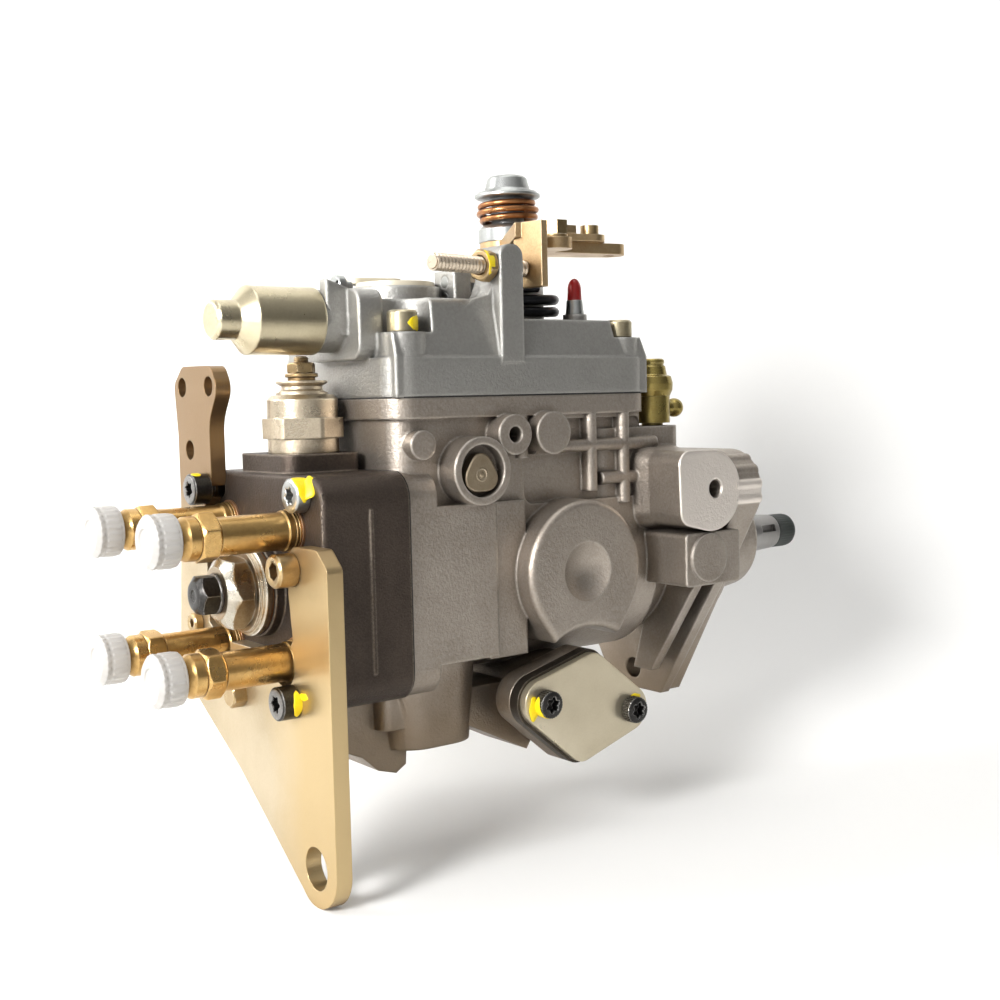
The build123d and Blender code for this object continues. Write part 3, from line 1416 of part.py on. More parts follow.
wire_r = 1.8
coil_r = 16.5
coil_z = cover_low_z + 3.7
with BuildPart() as torsion_spring:
    with BuildLine(Plane((lever_x, lever_y, coil_z), x_dir=(0, -1, 0), z_dir=(0, 0, 1))) as coil_path:
        Helix(pitch=4.4, height=8.8, radius=coil_r)
    with BuildSketch(Plane(coil_path.line @ 0, z_dir=coil_path.line % 0)):
        RegularPolygon(wire_r, 6)
    sweep(is_frenet=True)
    with Locations(((lug_front + lever_x) / 2, lever_y - coil_r, coil_z)):
        Cylinder(wire_r, lever_x - lug_front, rotation=(0, 90, 0))
torsion_spring.part.label = "torsion_spring"
export_step(torsion_spring.part, "parts/torsion_spring.step")

lever_top = lever_z + lever_thick
cable_offset = on_circle(cable_reach, cable_angle)
cable_hole_at = (lever_x + cable_offset[0], lever_y + cable_offset[1])
hex_screw_at = (lever_x + 6.0, -20.0)
knurled_screw_at = (lever_x + 27.4, -14.0)
tab_z = (tab_low_z + tab_high_z) / 2
tab_thick = 3.0
screw_end = 12.3
arm_across = on_circle(1.0, tab_angle)
arm_plane = Plane(lever_at + (0,), x_dir=arm_across + (0,), z_dir=(arm_across[1], -arm_across[0], 0))
with BuildPart() as lever:
    with BuildSketch(Plane.XY.offset(lever_z)):
        with Locations(lever_at):
            Circle(10.5)
        with Locations(cable_hole_at):
            Circle(6)
        make_hull()
    extrude(amount=lever_thick)
    with BuildSketch(Plane.XY.offset(lever_z)):
        with Locations(lever_at):
            Circle(10.5)
        with Locations(hex_screw_at):
            Circle(6)
        make_hull()
    extrude(amount=lever_thick)
    # arm to the stop tab, and the tab bent down from it
    with BuildSketch(arm_plane):
        with BuildLine():
            Polyline(
                (5, lever_z), (5, lever_top), (12, lever_top), (31, tab_high_z), (31, tab_high_z - 5),
                (16, lever_z), close=True,
            )
        make_face()
    extrude(amount=5.5, both=True)
    with Locations(Location(stop_screw_mid, (0, 0, stop_screw_turn))):
        with Locations((screw_end + 0.05 + tab_thick / 2, -1.5, tab_z - stop_screw_z)):
            Box(tab_thick, tab_width + 1, tab_high_z - tab_low_z)
    with BuildSketch(Plane.XY.offset(lever_z)):
        with Locations(lever_at):
            Circle(control_r)
        with Locations(cable_hole_at):
            Circle(2.2)
    extrude(amount=lever_thick, mode=Mode.SUBTRACT)
lever.part.label = "control_lever"
export_step(lever.part, "parts/control_lever.step")

with BuildPart() as cable_plate:
    with BuildSketch(Plane.XY.offset(lever_top)):
        with Locations((lever_x + 14.4, -9.5), knurled_screw_at):
            Circle(5.6)
        make_hull()
    extrude(amount=2.6)
    with BuildSketch(Plane.XY.offset(lever_top + 2.6)):
        with Locations((lever_x + 16, -12)):
            Rectangle(5, 10)
    extrude(amount=3)
    with BuildSketch(Plane.XY.offset(lever_top)):
        with Locations(lever_at):
            Circle(11.2)
    extrude(amount=6, mode=Mode.SUBTRACT)
cable_plate.part.label = "cable_plate"
export_step(cable_plate.part, "parts/cable_plate.step")

with BuildPart() as lever_screws:
    with BuildSketch(Plane.XY.offset(lever_top)):
        with Locations(hex_screw_at):
            Circle(4.6)
    extrude(amount=1.2)
    with BuildSketch(Plane.XY.offset(lever_top + 1.2)):
        with Locations(hex_screw_at):
            RegularPolygon(4, 6, major_radius=False)
    extrude(amount=5)
    with BuildSketch(Plane.XY.offset(lever_top + 2.6)):
        with Locations(knurled_screw_at):
            Circle(3.4)
    extrude(amount=3.6)
lever_screws.part.label = "lever_screws"
export_step(lever_screws.part, "parts/lever_screws.step")

seat_z = lever_top + 6.2
with BuildPart() as spring_seat:
    with BuildSketch(Plane.XY.offset(lever_top)):
        with Locations(lever_at):
            Circle(10.8)
            Circle(control_r, mode=Mode.SUBTRACT)
    extrude(amount=seat_z - lever_top)
    chamfer(spring_seat.edges().group_by(Axis.Z)[-1].filter_by(GeomType.CIRCLE).sort_by(SortBy.LENGTH)[-1], 1.6)
spring_seat.part.label = "spring_seat"
export_step(spring_seat.part, "parts/spring_seat.step")

copper_r = 1.25
copper_coil_r = 9.8
copper_height = 7.3
copper_turns = 2.5
with BuildPart() as lever_spring:
    with BuildLine(Plane((lever_x, lever_y, seat_z + copper_r))) as copper_path:
        Helix(pitch=copper_height / copper_turns, height=copper_height, radius=copper_coil_r)
    with BuildSketch(Plane(copper_path.line @ 0, z_dir=copper_path.line % 0)):
        RegularPolygon(copper_r, 6)
    sweep(is_frenet=True)
lever_spring.part.label = "lever_spring"
export_step(lever_spring.part, "parts/lever_spring.step")

retainer_z = seat_z + 2 * copper_r + copper_height
with BuildPart() as retainer:
    with BuildSketch(Plane.XY.offset(retainer_z)):
        with Locations(lever_at):
            Circle(12)
    extrude(amount=1.7)
    chamfer(retainer.edges().filter_by(GeomType.CIRCLE), 0.6)
    with BuildSketch(Plane.XY.offset(retainer_z + 1)):
        with Locations(lever_at):
            Circle(10.2)
    extrude(amount=1.6)
    with BuildSketch(Plane.XY.offset(retainer_z + 1)):
        with Locations(lever_at):
            Circle(8.8)
    with BuildSketch(Plane.XY.offset(retainer_z + 8)):
        with Locations(lever_at):
            Circle(7.6)
    loft()
    chamfer(retainer.edges().filter_by(GeomType.CIRCLE).sort_by(Axis.Z)[-1], 1.0)
    with BuildSketch(Plane.XY.offset(retainer_z)):
        with Locations(lever_at):
            Circle(control_r)
    extrude(amount=shaft_top - retainer_z, mode=Mode.SUBTRACT)
retainer.part.label = "spring_retainer"
export_step(retainer.part, "parts/spring_retainer.step")
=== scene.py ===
import json
import random
from math import atan2, copysign, cos, pi, radians, sin, sqrt

import bmesh
import bpy
from mathutils import Matrix, Vector


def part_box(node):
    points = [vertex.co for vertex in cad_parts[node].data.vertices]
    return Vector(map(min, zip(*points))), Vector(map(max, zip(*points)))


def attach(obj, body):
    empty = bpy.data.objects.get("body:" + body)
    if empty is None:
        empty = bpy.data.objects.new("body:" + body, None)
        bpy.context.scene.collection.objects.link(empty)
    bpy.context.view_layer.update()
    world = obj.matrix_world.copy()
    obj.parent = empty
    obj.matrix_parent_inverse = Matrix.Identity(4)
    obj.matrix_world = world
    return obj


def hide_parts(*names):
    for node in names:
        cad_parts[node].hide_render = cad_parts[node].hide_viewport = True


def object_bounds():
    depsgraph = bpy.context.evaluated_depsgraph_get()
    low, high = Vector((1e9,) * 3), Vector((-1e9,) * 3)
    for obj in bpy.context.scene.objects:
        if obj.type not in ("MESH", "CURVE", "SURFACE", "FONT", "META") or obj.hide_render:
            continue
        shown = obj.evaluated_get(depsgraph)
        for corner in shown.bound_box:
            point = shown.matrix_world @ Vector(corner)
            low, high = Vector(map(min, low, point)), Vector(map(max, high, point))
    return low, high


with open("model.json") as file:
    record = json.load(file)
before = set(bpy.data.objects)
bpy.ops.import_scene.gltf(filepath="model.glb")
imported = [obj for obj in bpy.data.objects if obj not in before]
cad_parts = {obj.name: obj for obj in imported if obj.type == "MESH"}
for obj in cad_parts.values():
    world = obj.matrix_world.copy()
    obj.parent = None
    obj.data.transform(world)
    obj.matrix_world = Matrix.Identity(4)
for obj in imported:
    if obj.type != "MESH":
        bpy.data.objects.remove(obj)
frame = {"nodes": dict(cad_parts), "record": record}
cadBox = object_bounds()
mm = 0.001

# places and sizes of pieces are in millimetres, those of the stage and the lamps in metres
camera = {
    "place": (-377.84, -399.40, 60.78), "yaw": 53.15, "pitch": -4.34, "roll": -1.30,
    "lens": 48.563, "sensor": 36.0, "clip": 0.01,
}


def addObject(name, data):
    item = bpy.data.objects.new(name, data)
    bpy.context.scene.collection.objects.link(item)
    return item


def buildCamera(values):
    yaw, pitch, roll = (radians(values[key]) for key in ("yaw", "pitch", "roll"))
    level = cos(pitch)
    ahead = Vector((level * cos(yaw), level * sin(yaw), sin(pitch)))
    side = Vector((sin(yaw), -cos(yaw), 0))
    up = side.cross(ahead)
    turnedSide = cos(roll) * side + sin(roll) * up
    turnedUp = -sin(roll) * side + cos(roll) * up
    data = bpy.data.cameras.new("viewCamera")
    data.sensor_width = values["sensor"]
    data.lens = values["lens"]
    data.clip_start = values["clip"]
    viewer = addObject("viewCamera", data)
    axes = Matrix((turnedSide, turnedUp, -ahead)).transposed().to_4x4()
    viewer.matrix_world = Matrix.Translation(Vector(values["place"]) * mm) @ axes
    bpy.context.scene.camera = viewer


buildCamera(camera)
bpy.context.scene.view_settings.view_transform = "Standard"
print("camera placed")


# helpers for shader nodes
def newNode(tree, kind, **values):
    node = tree.nodes.new(kind)
    for key, value in values.items():
        setattr(node, key, value)
    return node


def feed(sockets, values):
    # links each socket to an output, or sets it to a number or a colour
    for key, value in values.items():
        socket = sockets[key]
        if isinstance(value, bpy.types.NodeSocket):
            socket.id_data.links.new(value, socket)
        else:
            socket.default_value = (*value, 1) if socket.type == "RGBA" else value


def mathNode(tree, operation, first, second, clamp=False):
    node = newNode(tree, "ShaderNodeMath", operation=operation, use_clamp=clamp)
    feed(node.inputs, {0: first, 1: second})
    return node.outputs[0]


def vectorNode(tree, operation, first, second):
    node = newNode(tree, "ShaderNodeVectorMath", operation=operation)
    feed(node.inputs, {0: first, 1: second})
    return node.outputs


def mixColour(tree, factor, first, second):
    node = newNode(tree, "ShaderNodeMix", data_type="RGBA")
    feed(node.inputs, {0: factor, 6: first, 7: second})
    return node.outputs[2]


def remap(tree, value, low, high, newLow=0.0, newHigh=1.0):
    node = newNode(tree, "ShaderNodeMapRange")
    feed(node.inputs, dict(enumerate((value, low, high, newLow, newHigh))))
    return node.outputs[0]


def partPlace(tree):
    return newNode(tree, "ShaderNodeTexCoord").outputs["Object"]


def noiseNode(tree, place, scale, detail, roughness=0.5):
    node = newNode(tree, "ShaderNodeTexNoise")
    feed(node.inputs, {"Vector": place, "Scale": scale, "Detail": detail, "Roughness": roughness})
    return node.outputs["Fac"]


def newGroup(name, inputs, outputs):
    # each input and output is (name, kind of socket, starting value)
    group = bpy.data.node_groups.new(name, "ShaderNodeTree")
    for way, sockets in (("INPUT", inputs), ("OUTPUT", outputs)):
        for label, kind, value in sockets:
            socket = group.interface.new_socket(label, in_out=way, socket_type="NodeSocket" + kind)
            if value is not None:
                socket.default_value = value
    inside = group.nodes.new("NodeGroupInput")
    outside = group.nodes.new("NodeGroupOutput")
    return group, inside.outputs, outside.inputs


# Patch and Grain are noises: detail, roughness and the range that is kept
edgeLook = {"samples": 6, "bend": (0.01, 0.12), "broken": (0.3, 0.65, 0.35, 1.0), "scale": 900.0}
grainLook = {"Patch": (5, 0.6, 0.32, 0.68), "Grain": (3, 0.65, 0.3, 0.7), "patchHeight": 0.5}
lineLook = {"scale": 1.0, "detail": 2, "contrast": (0.3, 0.7)}
recessShadeLook = {"samples": 6, "open": (0.25, 0.85)}


def buildEdgeWearHighlightGroup(values):
    # rounds the look of sharp edges and finds them; the mask gives worn edges, which also paint edge
    # highlights
    group, given, result = newGroup(
        "edgeWearAndHighlight", [("Radius", "Float", 0.0006)], [("Mask", "Float", None), ("Normal", "Vector", None)])
    bevel = newNode(group, "ShaderNodeBevel", samples=values["samples"])
    feed(bevel.inputs, {"Radius": given["Radius"]})
    geometry = newNode(group, "ShaderNodeNewGeometry")
    dot = vectorNode(group, "DOT_PRODUCT", bevel.outputs[0], geometry.outputs["Normal"])
    bend = remap(group, mathNode(group, "SUBTRACT", 1.0, dot["Value"]), *values["bend"])
    noise = noiseNode(group, partPlace(group), values["scale"], 3)
    mask = mathNode(group, "MULTIPLY", bend, remap(group, noise, *values["broken"]), clamp=True)
    feed(result, {"Mask": mask, "Normal": bevel.outputs[0]})
    return group


def buildGrainGroup(values):
    # blotches and fine grain of a casting or a plated surface
    group, given, result = newGroup(
        "surfaceGrain", [("Patch", "Float", 45.0), ("Grain", "Float", 1400.0)],
        [("Blotch", "Float", None), ("Speckle", "Float", None), ("Height", "Float", None)])
    place = partPlace(group)
    masks = []
    for key in ("Patch", "Grain"):
        detail, roughness, low, high = values[key]
        masks.append(remap(group, noiseNode(group, place, given[key], detail, roughness), low, high))
    blotch, speckle = masks
    height = mathNode(group, "ADD", speckle, mathNode(group, "MULTIPLY", blotch, values["patchHeight"]))
    feed(result, {"Blotch": blotch, "Speckle": speckle, "Height": height})
    return group


def buildLineGroup(values):
    # fine tool lines; Along is large on the axis that the lines run across
    group, given, result = newGroup("toolLines", [("Along", "Vector", None)], [("Line", "Float", None)])
    scaled = vectorNode(group, "MULTIPLY", partPlace(group), given["Along"])[0]
    noise = noiseNode(group, scaled, values["scale"], values["detail"])
    feed(result, {"Line": remap(group, noise, *values["contrast"])})
    return group


def buildRecessShadeGroup(values):
    # painted shade: darkening in corners and recesses, found by ambient occlusion
    group, given, result = newGroup("cornerShade", [("Distance", "Float", 0.006)], [("Mask", "Float", None)])
    shade = newNode(group, "ShaderNodeAmbientOcclusion", samples=values["samples"])
    feed(shade.inputs, {"Distance": given["Distance"]})
    feed(result, {"Mask": remap(group, shade.outputs["AO"], *values["open"], 1.0, 0.0)})
    return group


edgeWearHighlightGroup = buildEdgeWearHighlightGroup(edgeLook)
grainGroup = buildGrainGroup(grainLook)
lineGroup = buildLineGroup(lineLook)
recessShadeGroup = buildRecessShadeGroup(recessShadeLook)


def useGroup(tree, group, **values):
    node = newNode(tree, "ShaderNodeGroup", node_tree=group)
    feed(node.inputs, values)
    return node.outputs


# what a finish has unless it says otherwise; rough goes from clean metal to the blotches; the painted shade
# in corners and recesses has a strength, a reach and a colour, and the worn edges, which also paint edge
# highlights, have a strength and a colour
plainFinish = dict(
    rough=(0.26, 0.36), speck=0.25, bump=0.08, depth=0.15, patch=45.0, grain=1400.0, edge=0.5, wearAndHighlight=0.5,
    recessShade=0.4, reach=6.0, paintedShade=(0.05, 0.045, 0.04), metal=1.0, alpha=1.0, tints=(),
)
grainByLines = 0.4
# how much rougher the surface gets where shade is painted into recesses
recessRough = 0.3
tintDrift = 0.3


def surface(name, given):
    # a metal or a plastic: patches, grain, worn edges that also paint edge highlights, painted shade in
    # corners and recesses, and fine relief
    values = {**plainFinish, "fleck": given["base"], "wornAndHighlight": given["base"], **given}
    material = bpy.data.materials.new(name)
    material.use_nodes = True
    tree = material.node_tree
    shader = tree.nodes["Principled BSDF"]
    edge = useGroup(tree, edgeWearHighlightGroup, Radius=values["edge"] * mm)
    grain = useGroup(tree, grainGroup, Patch=values["patch"], Grain=values["grain"])
    recessShade = useGroup(tree, recessShadeGroup, Distance=values["reach"] * mm)
    blotch = grain["Blotch"]
    colour = mixColour(tree, blotch, values["base"], values["second"])
    flecks = mathNode(tree, "MULTIPLY", grain["Speckle"], values["speck"])
    colour = mixColour(tree, flecks, colour, values["fleck"])
    # worn edges take a lighter colour, which also stands in for edge highlights
    wearAndHighlight = mathNode(tree, "MULTIPLY", edge["Mask"], values["wearAndHighlight"], clamp=True)
    colour = mixColour(tree, wearAndHighlight, colour, values["wornAndHighlight"])
    for limits, tintColour in values["tints"]:
        # another colour that comes in along one or more axes of the part, from low to high in metres
        apart = newNode(tree, "ShaderNodeSeparateXYZ")
        feed(apart.inputs, {0: partPlace(tree)})
        share = 1.0
        for axis, low, high in limits:
            drift = mathNode(tree, "MULTIPLY", blotch, tintDrift * (high - low))
            along = mathNode(tree, "ADD", apart.outputs[axis], drift)
            share = mathNode(tree, "MULTIPLY", remap(tree, along, low, high), share)
        colour = mixColour(tree, share, colour, tintColour)
    # painted shade: corners and recesses found by ambient occlusion turn darker and a little rougher
    paintedShade = mathNode(tree, "MULTIPLY", recessShade["Mask"], values["recessShade"])
    dull = mathNode(tree, "MULTIPLY", paintedShade, recessRough)
    height = grain["Height"]
    if "lines" in values:
        line = useGroup(tree, lineGroup, Along=values["lines"])["Line"]
        height = mathNode(tree, "ADD", mathNode(tree, "MULTIPLY", height, grainByLines), line)
    bump = newNode(tree, "ShaderNodeBump")
    feed(bump.inputs, {"Strength": values["bump"], "Distance": values["depth"] * mm,
                       "Height": height, "Normal": edge["Normal"]})
    feed(shader.inputs, {
        "Base Color": mixColour(tree, paintedShade, colour, values["paintedShade"]),
        "Roughness": mathNode(tree, "ADD", remap(tree, blotch, 0, 1, *values["rough"]), dull, clamp=True),
        "Metallic": values["metal"], "Alpha": values["alpha"], "Normal": bump.outputs[0],
    })
    return material


# finishes, one for each slot of the record, and the paler plating of the stop solenoid
finishes = {
    "housing_aluminium": dict(
        base=(0.37, 0.322, 0.275), second=(0.275, 0.235, 0.195), fleck=(0.52, 0.47, 0.415),
        wornAndHighlight=(0.72, 0.67, 0.61), rough=(0.35, 0.48), speck=0.38, bump=0.38, depth=0.22, grain=1100.0,
        edge=1.4, recessShade=0.75, paintedShade=(0.05, 0.038, 0.028), metal=0.9,
        # darker and browner towards the bottom, which is painted shade on the lower housing; paler where y is
        # below -57 mm and z above 10 mm
        tints=((((2, -0.030, -0.056),), (0.25, 0.195, 0.14)),
               (((1, -0.0568, -0.0573), (2, 0.010, 0.0115)), (0.86, 0.79, 0.72))),
    ),
    "cover_aluminium": dict(
        base=(0.40, 0.39, 0.365), second=(0.32, 0.31, 0.285), fleck=(0.52, 0.51, 0.49),
        wornAndHighlight=(0.66, 0.65, 0.62), rough=(0.36, 0.48), speck=0.35, bump=0.36, depth=0.22, grain=1000.0,
        edge=1.8, wearAndHighlight=0.35, recessShade=0.6, paintedShade=(0.05, 0.048, 0.045), metal=0.9,
    ),
    "head_casting": dict(
        base=(0.066, 0.050, 0.040), second=(0.042, 0.032, 0.026), fleck=(0.12, 0.092, 0.072),
        wornAndHighlight=(0.30, 0.25, 0.20), rough=(0.36, 0.52), speck=0.35, bump=0.4, depth=0.25, grain=1500.0, edge=1.2,
        wearAndHighlight=0.8, recessShade=0.5, metal=0.8,
    ),
    "bracket_zinc": dict(
        base=(0.56, 0.465, 0.32), second=(0.47, 0.375, 0.235), fleck=(0.63, 0.54, 0.40),
        wornAndHighlight=(0.88, 0.82, 0.68), rough=(0.30, 0.42), bump=0.12, patch=24.0, wearAndHighlight=0.8, paintedShade=(0.12, 0.07, 0.03),
        metal=0.9,
        # deeper gold towards the near side and dark brown up the arm
        tints=((((1, -0.012, -0.036),), (0.56, 0.42, 0.22)), (((2, 0.006, 0.040),), (0.27, 0.175, 0.09))),
    ),
    "valve_gold": dict(
        base=(0.70, 0.455, 0.175), second=(0.52, 0.325, 0.12), fleck=(0.36, 0.21, 0.075),
        wornAndHighlight=(0.80, 0.66, 0.42), rough=(0.24, 0.34), speck=0.35, patch=110.0, grain=700.0, edge=0.4,
        recessShade=0.75, paintedShade=(0.07, 0.035, 0.012),
    ),
    "zinc_gold": dict(
        base=(0.46, 0.33, 0.17), second=(0.36, 0.24, 0.11), fleck=(0.56, 0.44, 0.26), wornAndHighlight=(0.86, 0.78, 0.60),
        rough=(0.26, 0.38), bump=0.1, patch=120.0, wearAndHighlight=0.8, recessShade=0.6, paintedShade=(0.08, 0.04, 0.02),
    ),
    "plug_chromate": dict(
        base=(0.40, 0.32, 0.22), second=(0.30, 0.225, 0.15), fleck=(0.52, 0.44, 0.32),
        wornAndHighlight=(0.84, 0.77, 0.62), rough=(0.24, 0.36), speck=0.45, bump=0.14, patch=90.0, grain=1500.0,
        edge=0.7, wearAndHighlight=0.8, recessShade=0.65, paintedShade=(0.06, 0.035, 0.02),
    ),
    "solenoid_chromate": dict(
        base=(0.62, 0.52, 0.38), second=(0.44, 0.35, 0.24), fleck=(0.80, 0.72, 0.58), wornAndHighlight=(0.86, 0.79, 0.64),
        rough=(0.24, 0.38), speck=0.5, bump=0.22, patch=90.0, grain=1500.0, edge=0.7, wearAndHighlight=0.8, recessShade=0.65,
        paintedShade=(0.06, 0.035, 0.02),
    ),
    "cap_olive": dict(
        base=(0.62, 0.545, 0.375), second=(0.50, 0.43, 0.285), fleck=(0.72, 0.65, 0.48),
        wornAndHighlight=(0.84, 0.80, 0.64), rough=(0.25, 0.34), bump=0.06, patch=60.0, edge=0.9, wearAndHighlight=0.8,
        lines=(900, 20, 20),
    ),
    "union_olive": dict(
        base=(0.36, 0.28, 0.08), second=(0.26, 0.19, 0.06), fleck=(0.48, 0.40, 0.16), wornAndHighlight=(0.74, 0.66, 0.38),
        rough=(0.22, 0.34), bump=0.1, patch=120.0, edge=0.6, recessShade=0.5,
    ),
    "screw_chromate": dict(
        base=(0.46, 0.41, 0.28), second=(0.36, 0.30, 0.19), fleck=(0.62, 0.58, 0.44), wornAndHighlight=(0.80, 0.76, 0.62),
        rough=(0.28, 0.40), bump=0.1, patch=140.0, recessShade=0.5,
    ),
    "zinc_silver": dict(
        base=(0.44, 0.45, 0.44), second=(0.36, 0.37, 0.355), fleck=(0.56, 0.57, 0.56),
        wornAndHighlight=(0.74, 0.74, 0.72), patch=140.0,
    ),
    "screw_steel": dict(
        base=(0.56, 0.47, 0.37), second=(0.44, 0.35, 0.27), fleck=(0.70, 0.62, 0.52), wornAndHighlight=(0.85, 0.80, 0.70),
        bump=0.06, patch=160.0, edge=0.2, recessShade=0.6,
    ),
    "black_oxide": dict(
        base=(0.050, 0.048, 0.046), second=(0.030, 0.029, 0.028), fleck=(0.10, 0.095, 0.09),
        wornAndHighlight=(0.72, 0.70, 0.67), rough=(0.26, 0.40), speck=0.4, bump=0.1, patch=160.0, edge=0.45, wearAndHighlight=0.9,
    ),
    "spring_black": dict(
        base=(0.03, 0.03, 0.034), second=(0.02, 0.02, 0.022), wornAndHighlight=(0.08, 0.08, 0.08), rough=(0.28, 0.38),
        bump=0.05, edge=0.2, recessShade=0.3,
    ),
    "spring_copper": dict(
        base=(0.42, 0.19, 0.075), second=(0.32, 0.13, 0.05), fleck=(0.55, 0.30, 0.14), wornAndHighlight=(0.7, 0.45, 0.25),
        rough=(0.24, 0.34), bump=0.06, patch=150.0, edge=0.2, recessShade=0.6, paintedShade=(0.06, 0.02, 0.01),
    ),
    "lever_bronze": dict(
        base=(0.60, 0.43, 0.235), second=(0.40, 0.26, 0.13), fleck=(0.74, 0.58, 0.36),
        wornAndHighlight=(0.82, 0.70, 0.50), rough=(0.30, 0.44), bump=0.15, patch=60.0, recessShade=0.5,
        paintedShade=(0.07, 0.03, 0.015),
    ),
    "plate_cream": dict(
        base=(0.78, 0.72, 0.58), second=(0.70, 0.63, 0.48), wornAndHighlight=(0.90, 0.86, 0.76), rough=(0.38, 0.48),
        bump=0.1, edge=0.4, recessShade=0.3, metal=0.35,
    ),
    "cover_beige": dict(
        base=(0.64, 0.57, 0.43), second=(0.55, 0.48, 0.345), fleck=(0.70, 0.63, 0.49),
        wornAndHighlight=(0.72, 0.64, 0.40), bump=0.06, patch=35.0, edge=0.8, metal=0.85,
    ),
    "spacer_aluminium": dict(
        base=(0.085, 0.072, 0.057), second=(0.06, 0.05, 0.04), wornAndHighlight=(0.34, 0.30, 0.25), rough=(0.42, 0.52),
        bump=0.3, depth=0.25, edge=0.4, recessShade=0.5,
    ),
    "bolt_grey": dict(
        base=(0.40, 0.32, 0.22), second=(0.31, 0.24, 0.16), fleck=(0.50, 0.42, 0.30), wornAndHighlight=(0.70, 0.64, 0.54),
        rough=(0.34, 0.44), bump=0.15, patch=120.0, recessShade=0.6,
    ),
    "shaft_steel": dict(
        base=(0.34, 0.33, 0.32), second=(0.26, 0.25, 0.24), wornAndHighlight=(0.66, 0.65, 0.63), rough=(0.28, 0.38),
        bump=0.06, edge=0.4, lines=(1400, 20, 20),
    ),
    "steel": dict(
        base=(0.46, 0.46, 0.46), second=(0.38, 0.38, 0.38), wornAndHighlight=(0.72, 0.72, 0.72), rough=(0.28, 0.38),
        bump=0.06, edge=0.3,
    ),
    "copper": dict(
        base=(0.55, 0.32, 0.18), second=(0.44, 0.24, 0.13), wornAndHighlight=(0.75, 0.55, 0.38), rough=(0.32, 0.42),
        edge=0.2,
    ),
    "bronze": dict(
        base=(0.50, 0.34, 0.16), second=(0.42, 0.28, 0.13), wornAndHighlight=(0.7, 0.55, 0.32), rough=(0.34, 0.44),
        edge=0.3,
    ),
    "black_rubber": dict(
        base=(0.022, 0.022, 0.022), second=(0.03, 0.03, 0.03), wornAndHighlight=(0.06, 0.06, 0.06), rough=(0.55, 0.65),
        bump=0.1, edge=0.3, recessShade=0.2, metal=0.0,
    ),
    "insulator_black": dict(
        base=(0.020, 0.020, 0.023), second=(0.03, 0.03, 0.033), wornAndHighlight=(0.08, 0.08, 0.08), rough=(0.42, 0.52),
        edge=0.4, recessShade=0.2, metal=0.0,
    ),
    "cap_black": dict(
        base=(0.018, 0.024, 0.021), second=(0.028, 0.034, 0.030), wornAndHighlight=(0.07, 0.08, 0.075),
        rough=(0.46, 0.56), edge=0.6, recessShade=0.2, metal=0.0,
    ),
    "plug_red": dict(
        base=(0.42, 0.012, 0.010), second=(0.34, 0.008, 0.008), wornAndHighlight=(0.6, 0.06, 0.05), bump=0.03, edge=0.3,
        recessShade=0.2, metal=0.0,
    ),
    "cap_white": dict(
        base=(0.53, 0.51, 0.485), second=(0.47, 0.45, 0.425), wornAndHighlight=(0.60, 0.585, 0.56), rough=(0.30, 0.40),
        bump=0.05, recessShade=0.35, paintedShade=(0.40, 0.37, 0.33), metal=0.0, alpha=0.80,
    ),
}

finishMaterials = {name: surface("finish_" + name, values) for name, values in finishes.items()}
for part in frame["record"]["subparts"]:
    holder = frame["nodes"][part["node"]]
    holder.data.materials.clear()
    finish = "solenoid_chromate" if part["node"].startswith("solenoid") else part["material_slot"]
    holder.data.materials.append(finishMaterials[finish])
print("finishes built:", len(finishMaterials))

random.seed(41)


# helpers for meshes
def joinLoops(bm, loops, closed=True):
    # faces between loops that have the same number of vertices
    count = len(loops[0])
    for first, second in zip(loops, loops[1:]):
        for index in range(count if closed else count - 1):
            after = (index + 1) % count
            bm.faces.new((first[index], first[after], second[after], second[index]))


def closeEnds(bm, loops):
    bm.faces.new(list(reversed(loops[0])))
    bm.faces.new(loops[-1])


def ringSurface(rings, count=48, ends=True):
    # surface through rings given as (height, radius); a radius is a number or a function of the angle
    bm = bmesh.new()
    loops = []
    for height, radius in rings:
        loop = []
        for index in range(count):
            angle = 2 * pi * index / count
            reach = (radius(angle) if callable(radius) else radius) * mm
            loop.append(bm.verts.new((reach * cos(angle), reach * sin(angle), height * mm)))
        loops.append(loop)
    joinLoops(bm, loops)
    if ends:
        closeEnds(bm, loops)
    return bm


def hexRadius(flats, cornerRadius=None):
    # radius of a hexagon across its flats, with corners cut to a circle
    def radius(angle):
        local = (angle + pi / 6) % (pi / 3) - pi / 6
        reach = flats / 2 / cos(local)
        return min(reach, cornerRadius) if cornerRadius else reach
    return radius


def hexRings(flats, corner, start, end, startFace, endFace, steps=6):
    # rings of a hexagon bar from start to end, chamfered from a round face at both ends
    hexagon = hexRadius(flats, corner)
    rings = []
    for face, edge, inward in ((startFace, start, 1), (endFace, end, -1)):
        deep = (corner - face) * 0.8
        side = []
        for step in range(steps + 1):
            share = step / steps
            cone = face + (corner - face) * share
            side.append((edge + inward * deep * share, lambda angle, cone=cone: min(hexagon(angle), cone)))
        rings += side if inward > 0 else list(reversed(side))
    return rings


def waveRadius(middle, swing, waves, power=1.0):
    def radius(angle):
        wave = cos(waves * angle)
        return middle + swing * copysign(abs(wave) ** power, wave)
    return radius


def threadRadius(outer, depth, pitch, height):
    # radius of a thread at one height, for every angle
    def radius(angle):
        phase = (height / pitch - angle / (2 * pi)) % 1.0
        return outer - depth * abs(2 * phase - 1) ** 1.3
    return radius


def threadRings(outer, depth, pitch, start, end, perTurn=6):
    steps = max(8, int((end - start) / pitch * perTurn))
    heights = [start + (end - start) * step / steps for step in range(steps + 1)]
    thread = [(height, threadRadius(outer, depth, pitch, height)) for height in heights]
    return [(start, outer - depth * 1.2)] + thread + [(end, outer - depth * 1.2)]


